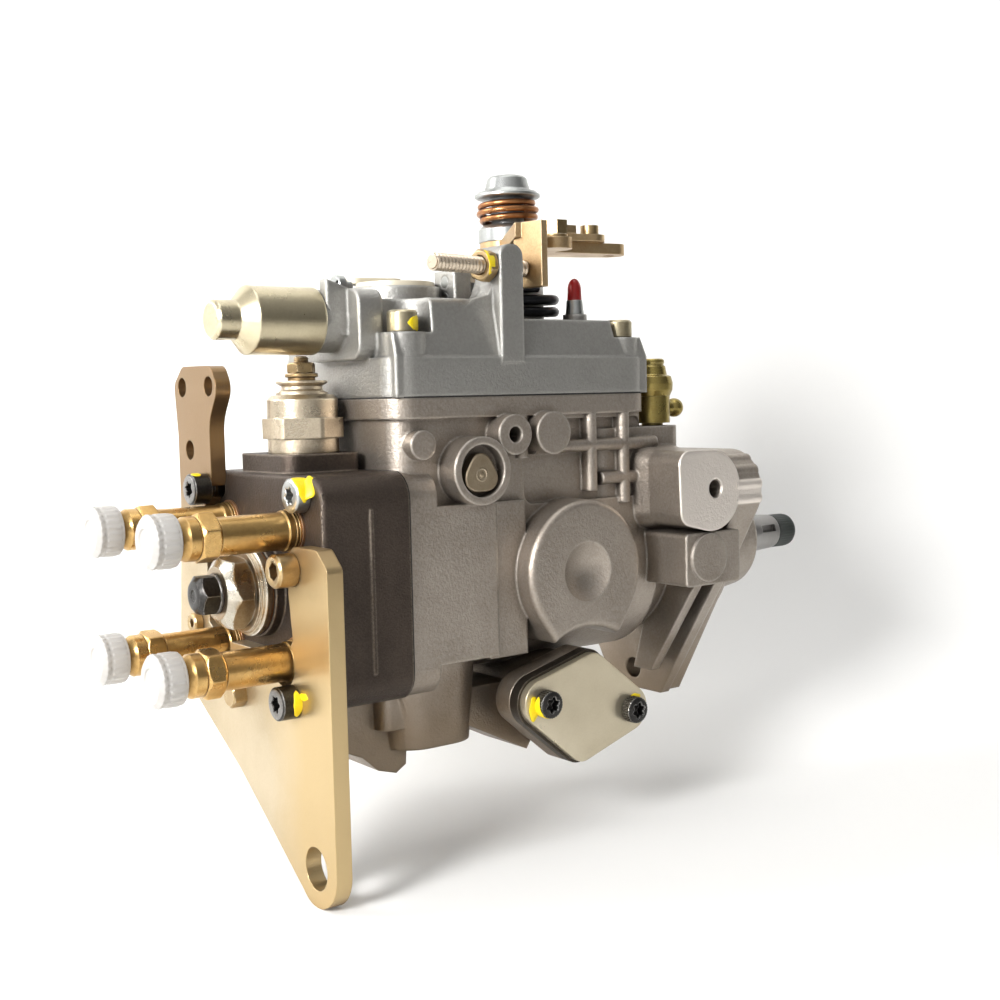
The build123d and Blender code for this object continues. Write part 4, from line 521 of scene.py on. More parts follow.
def spinTo(direction, towards, extra=0.0):
    # turn that brings the zero angle of a piece to face one way, plus some degrees
    local = Vector(direction).to_track_quat("Z", "Y").inverted() @ Vector(towards)
    return atan2(local.y, local.x) + radians(extra)


def settle(bm, origin, direction, spin=0.0):
    # turns a piece made along Z to its direction and moves it to its place
    turn = Vector(direction).to_track_quat("Z", "Y").to_matrix().to_4x4()
    matrix = Matrix.Translation(Vector(origin) * mm) @ turn @ Matrix.Rotation(spin, 4, "Z")
    bmesh.ops.transform(bm, matrix=matrix, verts=bm.verts)
    return bm


def smoothMesh(name, bm):
    mesh = bpy.data.meshes.new(name)
    bm.to_mesh(mesh)
    bm.free()
    for polygon in mesh.polygons:
        polygon.use_smooth = True
    return mesh


def addPiece(name, parts, slot, hidden=(), sharp=30.0, body="pump", material=None, face=None):
    joined = bmesh.new()
    for part in parts:
        loose = smoothMesh("loose", part)
        joined.from_mesh(loose)
        bpy.data.meshes.remove(loose)
    bmesh.ops.recalc_face_normals(joined, faces=joined.faces)
    mesh = smoothMesh(name, joined)
    mesh.set_sharp_from_angle(angle=radians(sharp))
    mesh.materials.append(material or finishMaterials[slot])
    if face:
        # faces that lean towards one direction by a share between two values take a second material
        direction, least, most, second = face
        mesh.materials.append(second)
        for polygon in mesh.polygons:
            if least < abs(polygon.normal.dot(Vector(direction))) <= most:
                polygon.material_index = 1
    piece = addObject(name, mesh)
    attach(piece, body)
    if hidden:
        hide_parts(*hidden)
    return piece


def wireAlong(points, radius, sides=12):
    # round wire through a list of points
    bm = bmesh.new()
    path = [Vector(point) * mm for point in points]
    side = None
    loops = []
    for index, point in enumerate(path):
        ahead = (path[min(index + 1, len(path) - 1)] - path[max(index - 1, 0)]).normalized()
        if side is None:
            side = ahead.orthogonal().normalized()
        side = (side - ahead * side.dot(ahead)).normalized()
        over = ahead.cross(side)
        loop = []
        for step in range(sides):
            angle = 2 * pi * step / sides
            around = side * cos(angle) + over * sin(angle)
            loop.append(bm.verts.new(point + around * radius * mm))
        loops.append(loop)
    joinLoops(bm, loops)
    closeEnds(bm, loops)
    return bm


def nodeBox(name):
    low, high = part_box(name)
    return low / mm, high / mm


back, front, up, near, far = (-1, 0, 0), (1, 0, 0), (0, 0, 1), (0, -1, 0), (0, 1, 0)


# screws; a seat is measured back from the front of the node's box
starScrew = {"recess": 2.35, "lobe": 0.42, "deep": 3.2, "edge": 0.7, "shank": 3.0, "knurls": 30, "knurl": 0.1}
headScrew = {"radius": 5.3, "tall": 6.6, "seat": 46.0, "turn": 0.4}
plainScrew = {"radius": 5.4, "tall": 5.0, "seat": 41.0, "turn": 0.2}
timingScrew = {"radius": 4.7, "tall": 4.6, "nearTurn": 0.3, "farTurn": 0.1}
socketScrew = {"recess": 2.9, "deep": 3.6, "edge": 0.8, "shank": 2.5}
smallSocket = {"recess": 1.7, "deep": 1.8, "edge": 0.6, "shank": 2.0}
bracketScrews = {
    "seat": 14.0, "large": (5.3, 7.0), "largeAt": (-30.8, 9.4), "small": (3.6, 3.4), "smallAt": (38.6, -15.2),
    "hexagon": (8.0, 4.5), "tall": 5.0, "hexAt": (7.5, -35.3),
}
coverScrew = {"radius": 5.0, "rearTall": 7.2, "frontTall": 6.4, "frontLower": 1.8, "turn": 0.3}


def starHead(radius, top, values, knurled=True):
    knurl, recess, shank = values["knurl"], values["recess"], values["shank"]
    rim = radius - values["edge"]
    deep = top - values["deep"]
    side = waveRadius(radius - knurl, knurl, values["knurls"]) if knurled else radius
    star = waveRadius(recess, values["lobe"], 6, 0.8)
    mouth = waveRadius(recess + 0.3, values["lobe"], 6, 0.8)
    return ringSurface([
        (-2.0, shank), (0.0, shank), (0.0, radius - 0.4), (0.3, side), (top * 0.45, side),
        (top - values["edge"] * 0.9, side), (top - 0.15, rim + 0.1), (top, rim - 0.25), (top, mouth),
        (top - 0.3, star), (deep, star), (deep - 0.4, 0.6),
    ], 120)


def socketHead(radius, top, values):
    edge, recess, shank = values["edge"], values["recess"], values["shank"]
    deep = top - values["deep"]
    hexagon = hexRadius(recess * 2 * cos(pi / 6))
    return ringSurface([
        (-2.0, shank), (0.0, shank), (0.0, radius - 0.4), (0.4, radius), (top - edge, radius),
        (top - 0.2, radius - edge * 0.6), (top, radius - edge), (top, recess + 0.5), (top - 0.3, hexagon),
        (deep, hexagon), (deep - 0.5, 0.5),
    ], 72)


wornFace = surface("wornFace", dict(
    base=(0.23, 0.22, 0.21), second=(0.12, 0.115, 0.11), fleck=(0.40, 0.39, 0.37), wornAndHighlight=(0.6, 0.58, 0.55),
    rough=(0.30, 0.44), speck=0.4, bump=0.15, patch=260.0, edge=0.3, recessShade=0.7,
))
low, high = nodeBox("head_screws")
headSeat = high.x - headScrew["seat"]
out = headScrew["radius"]
headSpots = [(low.y + out, low.z + out), (high.y - out, low.z + out), (high.y - out, high.z - out)]
parts = []
for index, spot in enumerate(headSpots):
    part = starHead(out, headScrew["tall"], starScrew, False)
    parts.append(settle(part, (headSeat, *spot), back, headScrew["turn"] * index))
addPiece("head_star_screws", parts, "black_oxide", ("head_screws",), 28, face=(front, 0.9, 1.0, wornFace))

low, high = nodeBox("head_screw_plain")
plainSpot = (high.x - plainScrew["seat"], (low.y + high.y) / 2, (low.z + high.z) / 2)
body = starHead(plainScrew["radius"], plainScrew["tall"], starScrew, False)
part = settle(body, plainSpot, back, plainScrew["turn"])
addPiece("plain_star_screw", [part], "zinc_silver", ("head_screw_plain",), 28)

low, high = nodeBox("timing_screws")
out, tall = timingScrew["radius"], timingScrew["tall"]
timingSpots = ((low.x + out, high.z - out), (high.x - out, low.z + out))
nearSeat = low.y + tall
parts = []
for x, z in timingSpots:
    for y, way, turn in ((nearSeat, near, "nearTurn"), (high.y - tall, far, "farTurn")):
        parts.append(settle(starHead(out, tall, starScrew), (x, y, z), way, timingScrew[turn]))
addPiece("timing_star_screws", parts, "black_oxide", ("timing_screws",), 28)

seat = nodeBox("bracket_screws")[1].x - bracketScrews["seat"]
hexagon = hexRadius(*bracketScrews["hexagon"])
tall = bracketScrews["tall"]
rings = [(-2.0, 2.0), (0.0, 2.0), (0.0, hexagon), (tall - 0.6, hexagon), (tall, 3.7), (tall, 1.0)]
parts = [
    settle(socketHead(*bracketScrews["large"], socketScrew), (seat, *bracketScrews["largeAt"]), back, 0.2),
    settle(socketHead(*bracketScrews["small"], smallSocket), (seat, *bracketScrews["smallAt"]), back, 0.5),
    settle(ringSurface(rings, 72), (seat, *bracketScrews["hexAt"]), back, 0.1),
]
addPiece("bracket_cap_screws", parts, "zinc_gold", ("bracket_screws",), 28)

low, high = nodeBox("cover_screws")
out, turn = coverScrew["radius"], coverScrew["turn"]
coverSeat = high.z - coverScrew["rearTall"]
frontTop = high.z - coverScrew["frontLower"]
coverCorner = (low.x + out, low.y + out, coverSeat)
parts = []
for x, seat, tall in ((low.x + out, coverSeat, coverScrew["rearTall"]),
                      (high.x - out, frontTop - coverScrew["frontTall"], coverScrew["frontTall"])):
    for y in (low.y + out, high.y - out):
        parts.append(settle(socketHead(out, tall, socketScrew), (x, y, seat), up, turn))
addPiece("cover_socket_screws", parts, "screw_chromate", ("cover_screws",), 28)
print("screws done")

# delivery valves and their caps
valve = {
    "across": 22.4, "up": 20.7, "body": 6.0, "neck": 5.7, "ring": 7.2, "flats": 14.0, "corner": 7.9,
    "hexStart": 26.8, "hexEnd": 32.8, "nipple": 5.6, "bore": 1.6, "turns": (0.35, 0.5), "sunk": 0.8,
}
cap = {"outer": 8.3, "ribs": 24, "rib": 0.13, "length": 9.0, "wall": 1.7, "inner": 5.7, "turn": 0.1}
valveSpots = [(y, z) for y in (-valve["across"], valve["across"]) for z in (-valve["up"], valve["up"])]


def outletValve(values, reach):
    # heights grow from the seat towards the pipe end
    body, neck, ring, nipple, bore = (values[key] for key in ("body", "neck", "ring", "nipple", "bore"))
    start, end, half = values["hexStart"], values["hexEnd"], values["flats"] / 2
    return ringSurface([
        (-4, body), (0, body), (0.0, ring - 0.4), (0.1, ring - 0.3), (0.6, ring - 0.3), (0.75, body + 0.2),
        (0.95, body + 0.2), (1.1, ring - 0.4), (1.6, ring - 0.4), (1.75, body + 0.1), (2.0, body + 0.1),
        (2.2, body + 0.5), (3.6, body + 0.5), (4.1, body + 0.1), (5.0, body), (start - 0.8, body),
        (start - 0.4, neck), (start, neck),
        *hexRings(values["flats"], values["corner"], start, end, half - 0.1, half - 0.2),
        (end, body + 0.5), (end + 0.4, body + 0.8), (end + 3.6, body + 0.8), (end + 4.4, body + 0.2),
        (end + 5.6, neck - 0.3), (end + 6.0, nipple - 0.4), (end + 6.8, nipple), (reach - 0.6, nipple),
        (reach, nipple - 0.6), (reach, bore + 0.9), (reach - 1.0, bore), (reach - 8, bore),
    ], 72)


def outletCap(values):
    outer, inner, end, wall, rib = (values[key] for key in ("outer", "inner", "length", "wall", "rib"))
    ribbed = waveRadius(outer - rib, rib, values["ribs"])
    smooth = outer - 2 * rib
    return ringSurface([
        (wall, 0.5), (wall, inner), (end, inner), (end, smooth - 0.3), (end - 0.3, smooth),
        (end - 1.0, smooth), (end - 1.3, ribbed), (3.6, ribbed), (3.3, smooth), (2.5, smooth), (2.2, ribbed),
        (1.3, ribbed), (0.5, outer - 1.0), (0.0, outer - 1.7), (0.0, inner - 1.4), (0.5, inner - 1.8),
        (0.5, 0.5),
    ], 156)


valveSeat = nodeBox("valve_washers")[1].x - valve["sunk"]
valveReach = valveSeat - nodeBox("delivery_valves")[0].x
capEnd = nodeBox("outlet_caps")[0].x
valves = []
caps = []
first, each = valve["turns"]
for index, (y, z) in enumerate(valveSpots):
    valves.append(settle(outletValve(valve, valveReach), (valveSeat, y, z), back, first + each * index))
    caps.append(settle(outletCap(cap), (capEnd, y, z), front, cap["turn"] * index))
addPiece("outlet_valves", valves, "valve_gold", ("delivery_valves",))
addPiece("ribbed_outlet_caps", caps, "cap_white", ("outlet_caps",), 26)

# centre plug and bleed bolt
plug = {
    "flats": 22.0, "corner": 12.6, "face": 8.7, "collar": 15.0, "band": 13.6, "reach": 12.6, "seat": 6.0,
    "bolt": 12.0, "boltCorner": 6.9, "turn": 24, "boltTurn": 31,
}
plugSeat = nodeBox("centre_plug")[1].x - plug["seat"]
collar, band, reach = plug["collar"], plug["band"], plug["reach"]
body = ringSurface([
    (-2, 8.9), (0, 8.9), (0, collar - 0.3), (0.3, collar), (1.9, collar), (2.2, collar - 0.4),
    (2.3, band + 0.6), (2.9, band + 0.6), (3.1, band - 0.3), (3.8, band - 0.3),
    *hexRings(plug["flats"], plug["corner"], 3.9, reach, plug["flats"] / 2, plug["face"], 9), (reach, 3.0),
], 96)
brightEdge = surface("brightEdge", dict(
    base=(0.52, 0.49, 0.42), second=(0.38, 0.34, 0.27), fleck=(0.66, 0.62, 0.54), wornAndHighlight=(0.8, 0.77, 0.7),
    rough=(0.20, 0.32), speck=0.4, bump=0.14, patch=120.0, edge=0.3, recessShade=0.5,
))
part = settle(body, (plugSeat, 0, 0), back, spinTo(back, near, plug["turn"]))
addPiece("centre_hex_plug", [part], "plug_chromate", ("centre_plug",), 28,
         face=(front, 0.3, 0.93, brightEdge))

boltStart = plugSeat - plug["reach"]
reach = boltStart - nodeBox("bleed_bolt")[0].x
half = plug["bolt"] / 2
body = ringSurface([
    (-1, 3.0), (0, 3.0), (0, 6.4), (0.6, 6.6), (1.0, 6.4),
    *hexRings(plug["bolt"], plug["boltCorner"], 1.0, reach - 0.3, half, half - 1.3),
    (reach, half - 2.6), (reach - 0.1, 2.2), (reach - 0.5, 1.6), (reach - 0.6, 0.4),
], 72)
part = settle(body, (boltStart, 0, 0), back, spinTo(back, near, plug["boltTurn"]))
addPiece("bleed_hex_bolt", [part], "black_oxide", ("bleed_bolt",), 24)
print("outlets done")

# springs and retainer of the lever
leverSpring = {"wire": 1.08, "waist": 8.7, "belly": 10.5, "turns": 3.05, "start": 0.6, "steps": 180}
retainer = {"rim": 1.3, "step": 1.0, "foot": 0.70, "head": 0.60, "chamfer": 0.9}
returnSpring = {"wire": 1.8, "radius": 16.5, "turns": 2.0, "pitch": 4.4, "steps": 120}
low, high = nodeBox("lever_spring")
leverX = (low.x + high.x) / 2
wire = leverSpring["wire"]
points = []
for step in range(leverSpring["steps"] + 1):
    share = step / leverSpring["steps"]
    bulge = sin(pi * share) ** 0.8
    reach = leverSpring["waist"] + (leverSpring["belly"] - leverSpring["waist"]) * bulge
    angle = 2 * pi * leverSpring["turns"] * share + leverSpring["start"]
    height = low.z + wire + share * (high.z - low.z - 2 * wire)
    points.append((leverX + reach * cos(angle), reach * sin(angle), height))
addPiece("barrel_spring", [wireAlong(points, wire)], "spring_copper", ("lever_spring",), 50, "lever")

low, high = nodeBox("spring_retainer")
rimOut = (high.x - low.x) / 2
tall = high.z - low.z
rim = retainer["rim"]
top = rim + retainer["step"]
foot, head = rimOut * retainer["foot"], rimOut * retainer["head"]
body = ringSurface([
    (0.0, rimOut * 0.55), (0.0, rimOut - 0.7), (0.4, rimOut), (rim, rimOut), (rim + 0.3, rimOut - 0.8),
    (top, rimOut - 1.3), (top + 0.3, foot + 0.5), (top + 0.8, foot), (tall - retainer["chamfer"], head),
    (tall - 0.2, head - 0.8), (tall, head - 1.2), (tall, 4.2), (tall - 0.5, 3.9), (tall - 0.5, 1.0),
], 96)
part = settle(body, ((low.x + high.x) / 2, 0, low.z), up)
addPiece("stepped_retainer", [part], "zinc_silver", ("spring_retainer",), 28, "lever")

low, high = nodeBox("torsion_spring")
wire, coil = returnSpring["wire"], returnSpring["radius"]
coilFoot = low.z + wire
points = [(low.x + share * (leverX - low.x), -coil, coilFoot) for share in (0, 0.25, 0.5, 0.75)]
for step in range(returnSpring["steps"] + 1):
    turned = returnSpring["turns"] * step / returnSpring["steps"]
    angle = -pi / 2 + 2 * pi * turned
    height = coilFoot + turned * returnSpring["pitch"]
    points.append((leverX + coil * cos(angle), coil * sin(angle), height))
addPiece("return_spring", [wireAlong(points, wire)], "spring_black", ("torsion_spring",), 50)
print("springs done")

# stop screw, terminal stud and their nuts
stopScrew = {"radius": 3.0, "depth": 0.62, "pitch": 1.6, "lean": 10.0, "length": 44.6, "end": 2.2}
hexNut = {"flats": 10.0, "corner": 5.65, "length": 4.2, "bore": 2.95, "flange": 0.0, "thick": 0.0}
terminalNut = {"flats": 8.6, "corner": 4.85, "length": 3.6, "bore": 2.45, "flange": 5.5, "thick": 1.3}
stud = {
    "radius": 2.5, "collar": 4.6, "under": 3.8, "over": 5.0, "pitch": 0.8, "depth": 0.25, "end": 1.7,
}
# steel of the stop screw thread; its strong, short-reach painted shade darkens the thread roots
threadSteel = surface("threadSteel", dict(
    base=(0.66, 0.56, 0.44), second=(0.54, 0.44, 0.33), fleck=(0.8, 0.72, 0.6), wornAndHighlight=(0.9, 0.84, 0.74),
    rough=(0.24, 0.34), bump=0.05, patch=160.0, edge=0.1, recessShade=1.0, reach=0.9, paintedShade=(0.05, 0.03, 0.018),
))


def nutMesh(values):
    inside, thick, flange = values["bore"], values["thick"], values["flange"]
    top = thick + values["length"]
    half = values["flats"] / 2
    rings = [(0.0, inside)]
    if flange:
        rings += [(0.0, flange - 0.2), (0.2, flange), (thick - 0.2, flange), (thick, flange - 0.3)]
    rings += hexRings(values["flats"], values["corner"], thick, top, half - 0.1, half - 0.3)
    return ringSurface(rings + [(top, inside + 0.5), (top - 0.5, inside)], 72)


low, high = nodeBox("stop_screw")
lean = radians(stopScrew["lean"])
along = Vector((cos(lean), sin(lean), 0))
length, end = stopScrew["length"], stopScrew["end"]
rings = threadRings(stopScrew["radius"], stopScrew["depth"], stopScrew["pitch"], 0.5, length - 0.5)
body = ringSurface([(0.0, end)] + rings + [(length, end)], 40)
part = settle(body, (low + high) / 2 - along * length / 2, along)
addPiece("stop_screw_thread", [part], "screw_steel", ("stop_screw",), 60, material=threadSteel)

low, high = nodeBox("stop_screw_nut")
nutStart = (low + high) / 2 + along * hexNut["length"] / 2
part = settle(nutMesh(hexNut), nutStart, -along, 0.2)
addPiece("stop_screw_hex_nut", [part], "zinc_gold", ("stop_screw_nut",), 28)

low, high = nodeBox("terminal_stud")
studAt = ((low.x + high.x) / 2, (low.y + high.y) / 2)
radius, collar, under, over = (stud[key] for key in ("radius", "collar", "under", "over"))
length = high.z - low.z
rings = [(0.0, radius), (under, radius), (under, collar), (over, collar), (over, radius)]
rings += threadRings(radius, stud["depth"], stud["pitch"], over, length - 0.4)
body = ringSurface(rings + [(length, stud["end"])], 40)
addPiece("terminal_thread", [settle(body, (*studAt, low.z), up)], "zinc_gold", ("terminal_stud",), 60)
part = settle(nutMesh(terminalNut), (*studAt, nodeBox("terminal_nut")[0].z), up, 0.3)
addPiece("terminal_hex_nut", [part], "zinc_gold", ("terminal_nut",), 28)

# thread in the hole of the ear, open at both ends
earThread = {"radius": 3.38, "depth": 0.35, "pitch": 1.25, "at": (-24.4, -57.4, 26.3), "deep": 10.0}
rings = threadRings(earThread["radius"], earThread["depth"], earThread["pitch"], 0.0, earThread["deep"], 7)
part = settle(ringSurface(rings[1:-1], 32, False), earThread["at"], far)
addPiece("ear_thread", [part], "housing_aluminium", (), 60)
print("threads done")

# cap on the shaft end
shaftCap = {"ribs": 36, "rib": 0.12}
low, high = nodeBox("shaft_cap")
out = (high.y - low.y) / 2
end = high.x - low.x
ribs = waveRadius(out - shaftCap["rib"], shaftCap["rib"], shaftCap["ribs"])
body = ringSurface([
    (0.3, out - 1.6), (0.0, out - 0.5), (0.0, out - 0.1), (0.5, out), (1.2, out), (1.5, ribs),
    (end - 3.6, ribs), (end - 3.2, out - 0.1), (end - 2.0, out - 0.3), (end - 0.9, out - 1.1),
    (end - 0.2, out - 2.4), (end, out - 3.8), (end, 0.5),
], 144)
addPiece("ribbed_shaft_cap", [settle(body, (low.x, 0, 0), front)], "cap_black", ("shaft_cap",), body="drive")

# red plug of the vent stub, a straight foot under a dome
ventPlug = {"foot": 0.9, "waist": 0.94, "dome": 1.6, "steps": 8, "stepAngle": 11}
low, high = nodeBox("vent_plug")
out = (high.x - low.x) / 2
tall = high.z - low.z
waist, dome = out * ventPlug["waist"], out * ventPlug["dome"]
rings = [(0.0, out * ventPlug["foot"]), (0.5, out), (tall - dome, waist)]
for step in range(1, ventPlug["steps"] + 1):
    angle = radians(ventPlug["stepAngle"] * step)
    rings.append((tall - dome * (1 - sin(angle)), waist * cos(angle)))
part = settle(ringSurface(rings, 40), ((low.x + high.x) / 2, (low.y + high.y) / 2, low.z), up)
addPiece("domed_vent_plug", [part], "plug_red", ("vent_plug",), 50)

# slotted screw on the cover
slotScrew = {
    "at": (-146.0, -5.0, 99.0), "along": back, "radius": 3.6, "tall": 3.2, "shank": 3.0, "turn": 0.5,
    "slotHalf": 0.55, "slotDeep": 1.1,
}


def slottedScrew(values):
    # cheese head with a slot made by pushing the middle strip of its top down
    radius, tall, half = values["radius"], values["tall"], values["slotHalf"] * mm
    bm = ringSurface([
        (-values["shank"], radius * 0.5), (0.0, radius * 0.5), (0.0, radius - 0.2), (0.2, radius),
        (tall - 0.4, radius), (tall, radius - 0.4),
    ])
    for level in (-half, half):
        geometry = list(bm.verts) + list(bm.edges) + list(bm.faces)
        bmesh.ops.bisect_plane(bm, geom=geometry, plane_co=(0, level, 0), plane_no=(0, 1, 0))
    strip = []
    for polygon in bm.faces:
        centre = polygon.calc_center_median()
        if polygon.normal.z > 0.9 and abs(centre.y) < half and centre.z > (tall - 0.1) * mm:
            strip.append(polygon)
    slot = bmesh.ops.extrude_face_region(bm, geom=strip)
    sunk = [item for item in slot["geom"] if isinstance(item, bmesh.types.BMVert)]
    bmesh.ops.translate(bm, vec=(0, 0, -values["slotDeep"] * mm), verts=sunk)
    bmesh.ops.delete(bm, geom=strip, context="FACES_ONLY")
    return settle(bm, values["at"], values["along"], values["turn"])


addPiece("slotted_screws", [slottedScrew(slotScrew)], "zinc_silver")

# lobed bolt in the side boss
lobed = {"middle": 6.4, "swing": 0.62, "lobes": 3, "top": 3.8, "out": 2.1, "in": 1.7, "up": 6.2, "turn": -30}
low, high = nodeBox("side_bolt")
outline = waveRadius(lobed["middle"], lobed["swing"], lobed["lobes"])
inset = waveRadius(lobed["middle"] - 0.45, lobed["swing"], lobed["lobes"])
top, ringOut, ringIn = lobed["top"], lobed["out"], lobed["in"]
body = ringSurface([
    (-3, 5.0), (0, 5.0), (0, outline), (top - 0.4, outline), (top, inset), (top, ringOut + 0.2),
    (top + 0.12, ringOut), (top + 0.12, ringIn + 0.2), (top - 0.08, ringIn), (top - 0.08, 0.9),
    (top + 0.1, 0.6), (top + 0.14, 0.2),
], 96)
place = ((low.x + high.x) / 2, low.y + top, low.z + lobed["up"])
addPiece("side_lobed_bolt", [settle(body, place, near, radians(lobed["turn"]))], "bolt_grey", ("side_bolt",))

# dark joint line under the cover, and a wide black band of painted shadow in the gap before the head
coverBand = {"size": (111.0, 73.6), "corner": 8.5, "thick": 0.45, "grow": 0.12, "x": -91.5}
headShadowBand = {"size": (77.6, 74.0), "corner": 9.0, "thick": 1.8, "grow": 0.14, "behind": 2.3, "up": 1.0}


def darkBand(values):
    # closed band around a rounded rectangle, standing proud of it by a little
    bm = bmesh.new()
    corner, half = values["corner"], values["thick"] / 2
    width, height = values["size"]
    reach = corner + values["grow"]
    outline = []
    for sideX, sideY, first in ((1, 1, 0), (-1, 1, 90), (-1, -1, 180), (1, -1, 270)):
        for step in range(7):
            angle = radians(first + 15 * step)
            outline.append((sideX * (width / 2 - corner) + reach * cos(angle),
                            sideY * (height / 2 - corner) + reach * sin(angle)))
    loops = []
    for level, shrink in ((-half, 0.985), (-half, 1.0), (half, 1.0), (half, 0.985)):
        loops.append([bm.verts.new((x * shrink * mm, y * shrink * mm, level * mm)) for x, y in outline])
    joinLoops(bm, loops + loops[:1])
    return bm


jointAndShadowBlack = surface("jointAndShadowBlack", dict(
    base=(0.012, 0.011, 0.010), second=(0.02, 0.018, 0.016), rough=(0.60, 0.70), bump=0.3, edge=0.1, wearAndHighlight=0.0,
    recessShade=0.35, metal=0.0,
))
coverJoint = settle(darkBand(coverBand), (coverBand["x"], 0, nodeBox("governor_cover")[0].z), up)
# painted shadow: this wide black band stands where the gap between head and housing lies in shade
headGapShadow = darkBand(headShadowBand)
turned = Matrix(((0, 0, 1), (1, 0, 0), (0, 1, 0))).to_4x4()
place = Vector((nodeBox("head_seal_ring")[0].x - headShadowBand["behind"], 0, headShadowBand["up"])) * mm
bmesh.ops.transform(headGapShadow, matrix=Matrix.Translation(place) @ turned, verts=headGapShadow.verts)
addPiece("joint_and_shadow_lines", [coverJoint, headGapShadow], "black_rubber", material=jointAndShadowBlack)

# rough casting seam on the edge of the head
seam = {"top": 33.0, "at": (-176.0, -40.0), "radius": 0.34, "steps": 110, "stray": (0.22, 0.2), "sides": 7}
seamRough = surface("seamRough", dict(
    base=(0.22, 0.185, 0.155), second=(0.13, 0.11, 0.09), fleck=(0.36, 0.31, 0.27), wornAndHighlight=(0.5, 0.45, 0.4),
    rough=(0.36, 0.50), bump=0.4, depth=0.25, edge=0.2,
))
strayX, strayY = seam["stray"]
points = []
for step in range(seam["steps"] + 1):
    x = seam["at"][0] + random.uniform(-strayX, strayX)
    y = seam["at"][1] + random.uniform(-strayY, strayY)
    points.append((x, y, seam["top"] * (1 - 2 * step / seam["steps"])))
part = wireAlong(points, seam["radius"], seam["sides"])
addPiece("head_seam", [part], "head_casting", (), 60, material=seamRough)
print("side details done")

# yellow paint; a mark is (place, normal, size), and a wrap round a screw head is
# (place, direction, radius, towards, reach in degrees, heights, shift of its waves)
paintMarks = [
    ((-177.0, -34.2, 34.6), (-1, -0.7, 0.6), (2.2, 4.2, 0.8)),
    ((-182.1, -35.4, -29.6), back, (2.4, 1.3, 0.4)),
    ((-99.9, -45.2, -44.6), near, (2.3, 3.9, 0.35)),
    ((-53.4, -45.2, -47.2), near, (2.2, 1.0, 0.3)),
]
timingCorner = (timingSpots[0][0], nearSeat, timingSpots[0][1])
paintWraps = [
    (nutStart, -along, 5.2, (0, -1, 0.25), 52, (1.6, 4.8), 0.2),
    (plainSpot, back, 5.42, (0, -0.72, 0.70), 60, (-0.6, 4.6), 0.4),
    ((headSeat, *headSpots[0]), back, 5.32, (0, -1, 0.0), 46, (-0.2, 2.9), 1.7),
    ((headSeat, *headSpots[2]), back, 5.32, (0, -0.25, 1), 16, (2.6, 6.0), 2.6),
    (coverCorner, up, 5.02, (0.55, -0.85, 0), 40, (0.4, 5.2), 0.9),
    (timingCorner, near, 4.72, (-0.8, 0, -0.6), 70, (0.2, 3.4), 2.2),
]
paint = {"rows": 28, "columns": 44, "thick": 0.18, "sunk": 0.02, "fade": (6, 5), "marksTurn": 6}
paintYellow = surface("paintYellow", dict(
    base=(0.86, 0.66, 0.004), second=(0.80, 0.58, 0.004), fleck=(0.9, 0.74, 0.02), wornAndHighlight=(0.86, 0.66, 0.01),
    rough=(0.38, 0.48), bump=0.3, depth=0.2, edge=0.1, recessShade=0.15, metal=0.0,
))


def paintWrap(origin, direction, radius, towards, reach, heights, shift):
    # thin brush mark on the side of a screw head, on the part that looks towards one direction
    bm = bmesh.new()
    middle = spinTo(direction, towards)
    low, high = heights
    fadeU, fadeV = paint["fade"]
    grid = []
    for row in range(paint["rows"] + 1):
        line = []
        v = 2 * row / paint["rows"] - 1
        wave = 1 + 0.10 * sin(2.5 * v + shift) + 0.05 * sin(6 * v + 2 * shift)
        wide = radians(reach) * wave * sqrt(max(0.0, 1 - 0.8 * v * v))
        for column in range(paint["columns"] + 1):
            u = 2 * column / paint["columns"] - 1
            angle = middle + wide * u
            height = (low + high) / 2 + (high - low) / 2 * v * (1 + 0.10 * sin(3 * u + shift))
            rise = paint["thick"] * min(1.0, fadeU * (1 - abs(u)), fadeV * (1 - abs(v))) - paint["sunk"]
            out = (radius + rise) * mm
            line.append(bm.verts.new((out * cos(angle), out * sin(angle), height * mm)))
        grid.append(line)
    joinLoops(bm, grid, False)
    return settle(bm, origin, direction)


def paintMark(at, normal, size):
    # flat uneven blob
    bm = bmesh.new()
    bmesh.ops.create_icosphere(bm, subdivisions=4, radius=1.0)
    wide, tall, thick = size
    shift = random.uniform(0, paint["marksTurn"])
    for vert in bm.verts:
        angle = atan2(vert.co.y, vert.co.x)
        uneven = 1 + 0.12 * sin(2 * angle + shift) + 0.06 * sin(5 * angle + 2 * shift)
        vert.co = Vector((vert.co.x * wide * uneven, vert.co.y * tall * uneven, vert.co.z * thick)) * mm
    return settle(bm, at, normal)


parts = [paintMark(*mark) for mark in paintMarks] + [paintWrap(*wrap) for wrap in paintWraps]
addPiece("paint_marks", parts, "bracket_zinc", (), 60, material=paintYellow)
print("paint marks done")

# floor, backdrop and light, in metres and watts
stage = {
    "middle": (-0.08, 0.0, 0.0), "size": 2.6, "wallBehind": 0.20, "curve": 0.15, "curveSteps": 16,
    "white": (0.80, 0.795, 0.78), "rough": 0.9, "specular": 0.1, "lift": 0.08,
}
aim = (-0.08, 0, 0.03)
lights = [
    {"name": "keyLight", "place": (-1.05, -0.32, 0.40), "size": 0.36, "power": 15.6},
    {"name": "sideLight", "place": (-0.95, 0.60, 0.55), "size": 0.5, "power": 6.0},
    {"name": "topLight", "place": (-0.15, -0.1, 1.2), "size": 0.8, "power": 4.0},
]
sky = {"diffuse": 0.34, "dark": 0.08, "bright": 0.9, "towards": (-0.85, 0.10, 0.50), "spread": (-0.5, 0.9)}


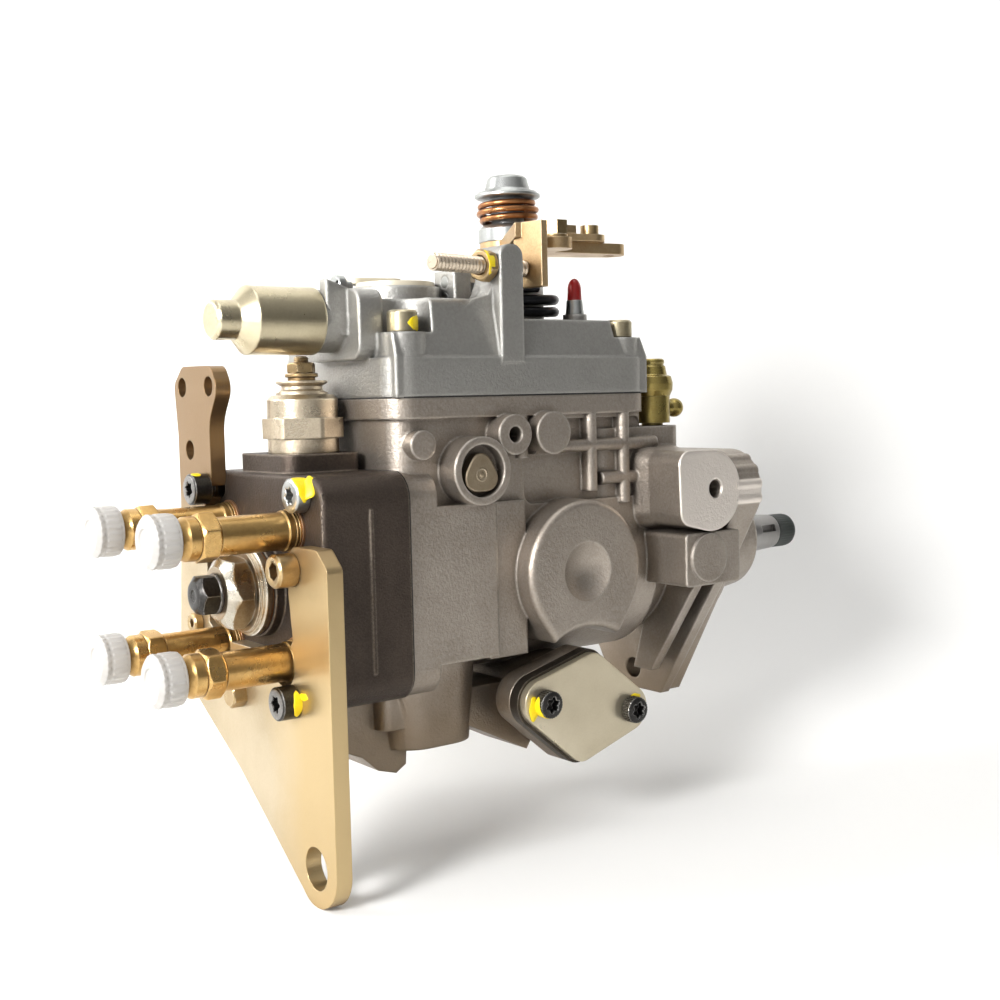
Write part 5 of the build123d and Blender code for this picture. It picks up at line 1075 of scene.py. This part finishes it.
def buildStage(values):
    yaw = radians(camera["yaw"])
    ahead = Vector((cos(yaw), sin(yaw), 0))
    side = Vector((sin(yaw), -cos(yaw), 0))
    size, curve, steps = values["size"], values["curve"], values["curveSteps"]
    bend = values["wallBehind"] - curve
    profile = [(-size, 0.0), (bend, 0.0)]
    for step in range(1, steps + 1):
        angle = pi / 2 * step / steps
        profile.append((bend + curve * sin(angle), curve * (1 - cos(angle))))
    profile.append((values["wallBehind"], size))
    bm = bmesh.new()
    rows = []
    for along, height in profile:
        row = []
        for across in (-size, size):
            point = Vector(values["middle"]) + ahead * along + side * across
            row.append(bm.verts.new((point.x, point.y, cadBox[0][2] + height)))
        rows.append(row)
    joinLoops(bm, rows, False)
    sweep = addObject("stageSweep", smoothMesh("stageSweep", bm))
    material = bpy.data.materials.new("stageWhite")
    material.use_nodes = True
    tree = material.node_tree
    shader = tree.nodes["Principled BSDF"]
    # the camera sees the sweep a little lighter than its light, which keeps it white and leaves the shadow
    path = newNode(tree, "ShaderNodeLightPath")
    lift = mathNode(tree, "MULTIPLY", path.outputs["Is Camera Ray"], values["lift"])
    feed(shader.inputs, {
        "Base Color": values["white"], "Roughness": values["rough"], "Specular IOR Level": values["specular"],
        "Emission Color": (1, 1, 1), "Emission Strength": lift,
    })
    sweep.data.materials.append(material)


def buildLights(entries):
    for entry in entries:
        data = bpy.data.lights.new(entry["name"], "AREA")
        data.shape = "DISK"
        data.size = entry["size"]
        data.energy = entry["power"]
        lamp = addObject(entry["name"], data)
        lamp.location = entry["place"]
        toAim = Vector(aim) - Vector(entry["place"])
        lamp.rotation_euler = toAim.to_track_quat("-Z", "Y").to_euler()


def buildSky(values):
    # reflections see a room that is bright on the key side and dark opposite
    world = bpy.data.worlds.new("studioWorld")
    bpy.context.scene.world = world
    world.use_nodes = True
    tree = world.node_tree
    background = tree.nodes["Background"]
    place = newNode(tree, "ShaderNodeTexCoord").outputs["Generated"]
    dot = vectorNode(tree, "DOT_PRODUCT", place, Vector(values["towards"]).normalized())
    room = remap(tree, dot["Value"], *values["spread"], values["dark"], values["bright"])
    path = newNode(tree, "ShaderNodeLightPath")
    seen = mathNode(tree, "MAXIMUM", path.outputs["Is Camera Ray"], path.outputs["Is Transmission Ray"])
    plain = remap(tree, path.outputs["Is Diffuse Ray"], 0, 1, 1.0, values["diffuse"] / values["bright"])
    around = mathNode(tree, "MULTIPLY", room, plain)
    strength = mathNode(tree, "MAXIMUM", around, seen)
    feed(background.inputs, {"Color": (1, 1, 1), "Strength": strength})


buildStage(stage)
buildLights(lights)
buildSky(sky)
print("stage built")
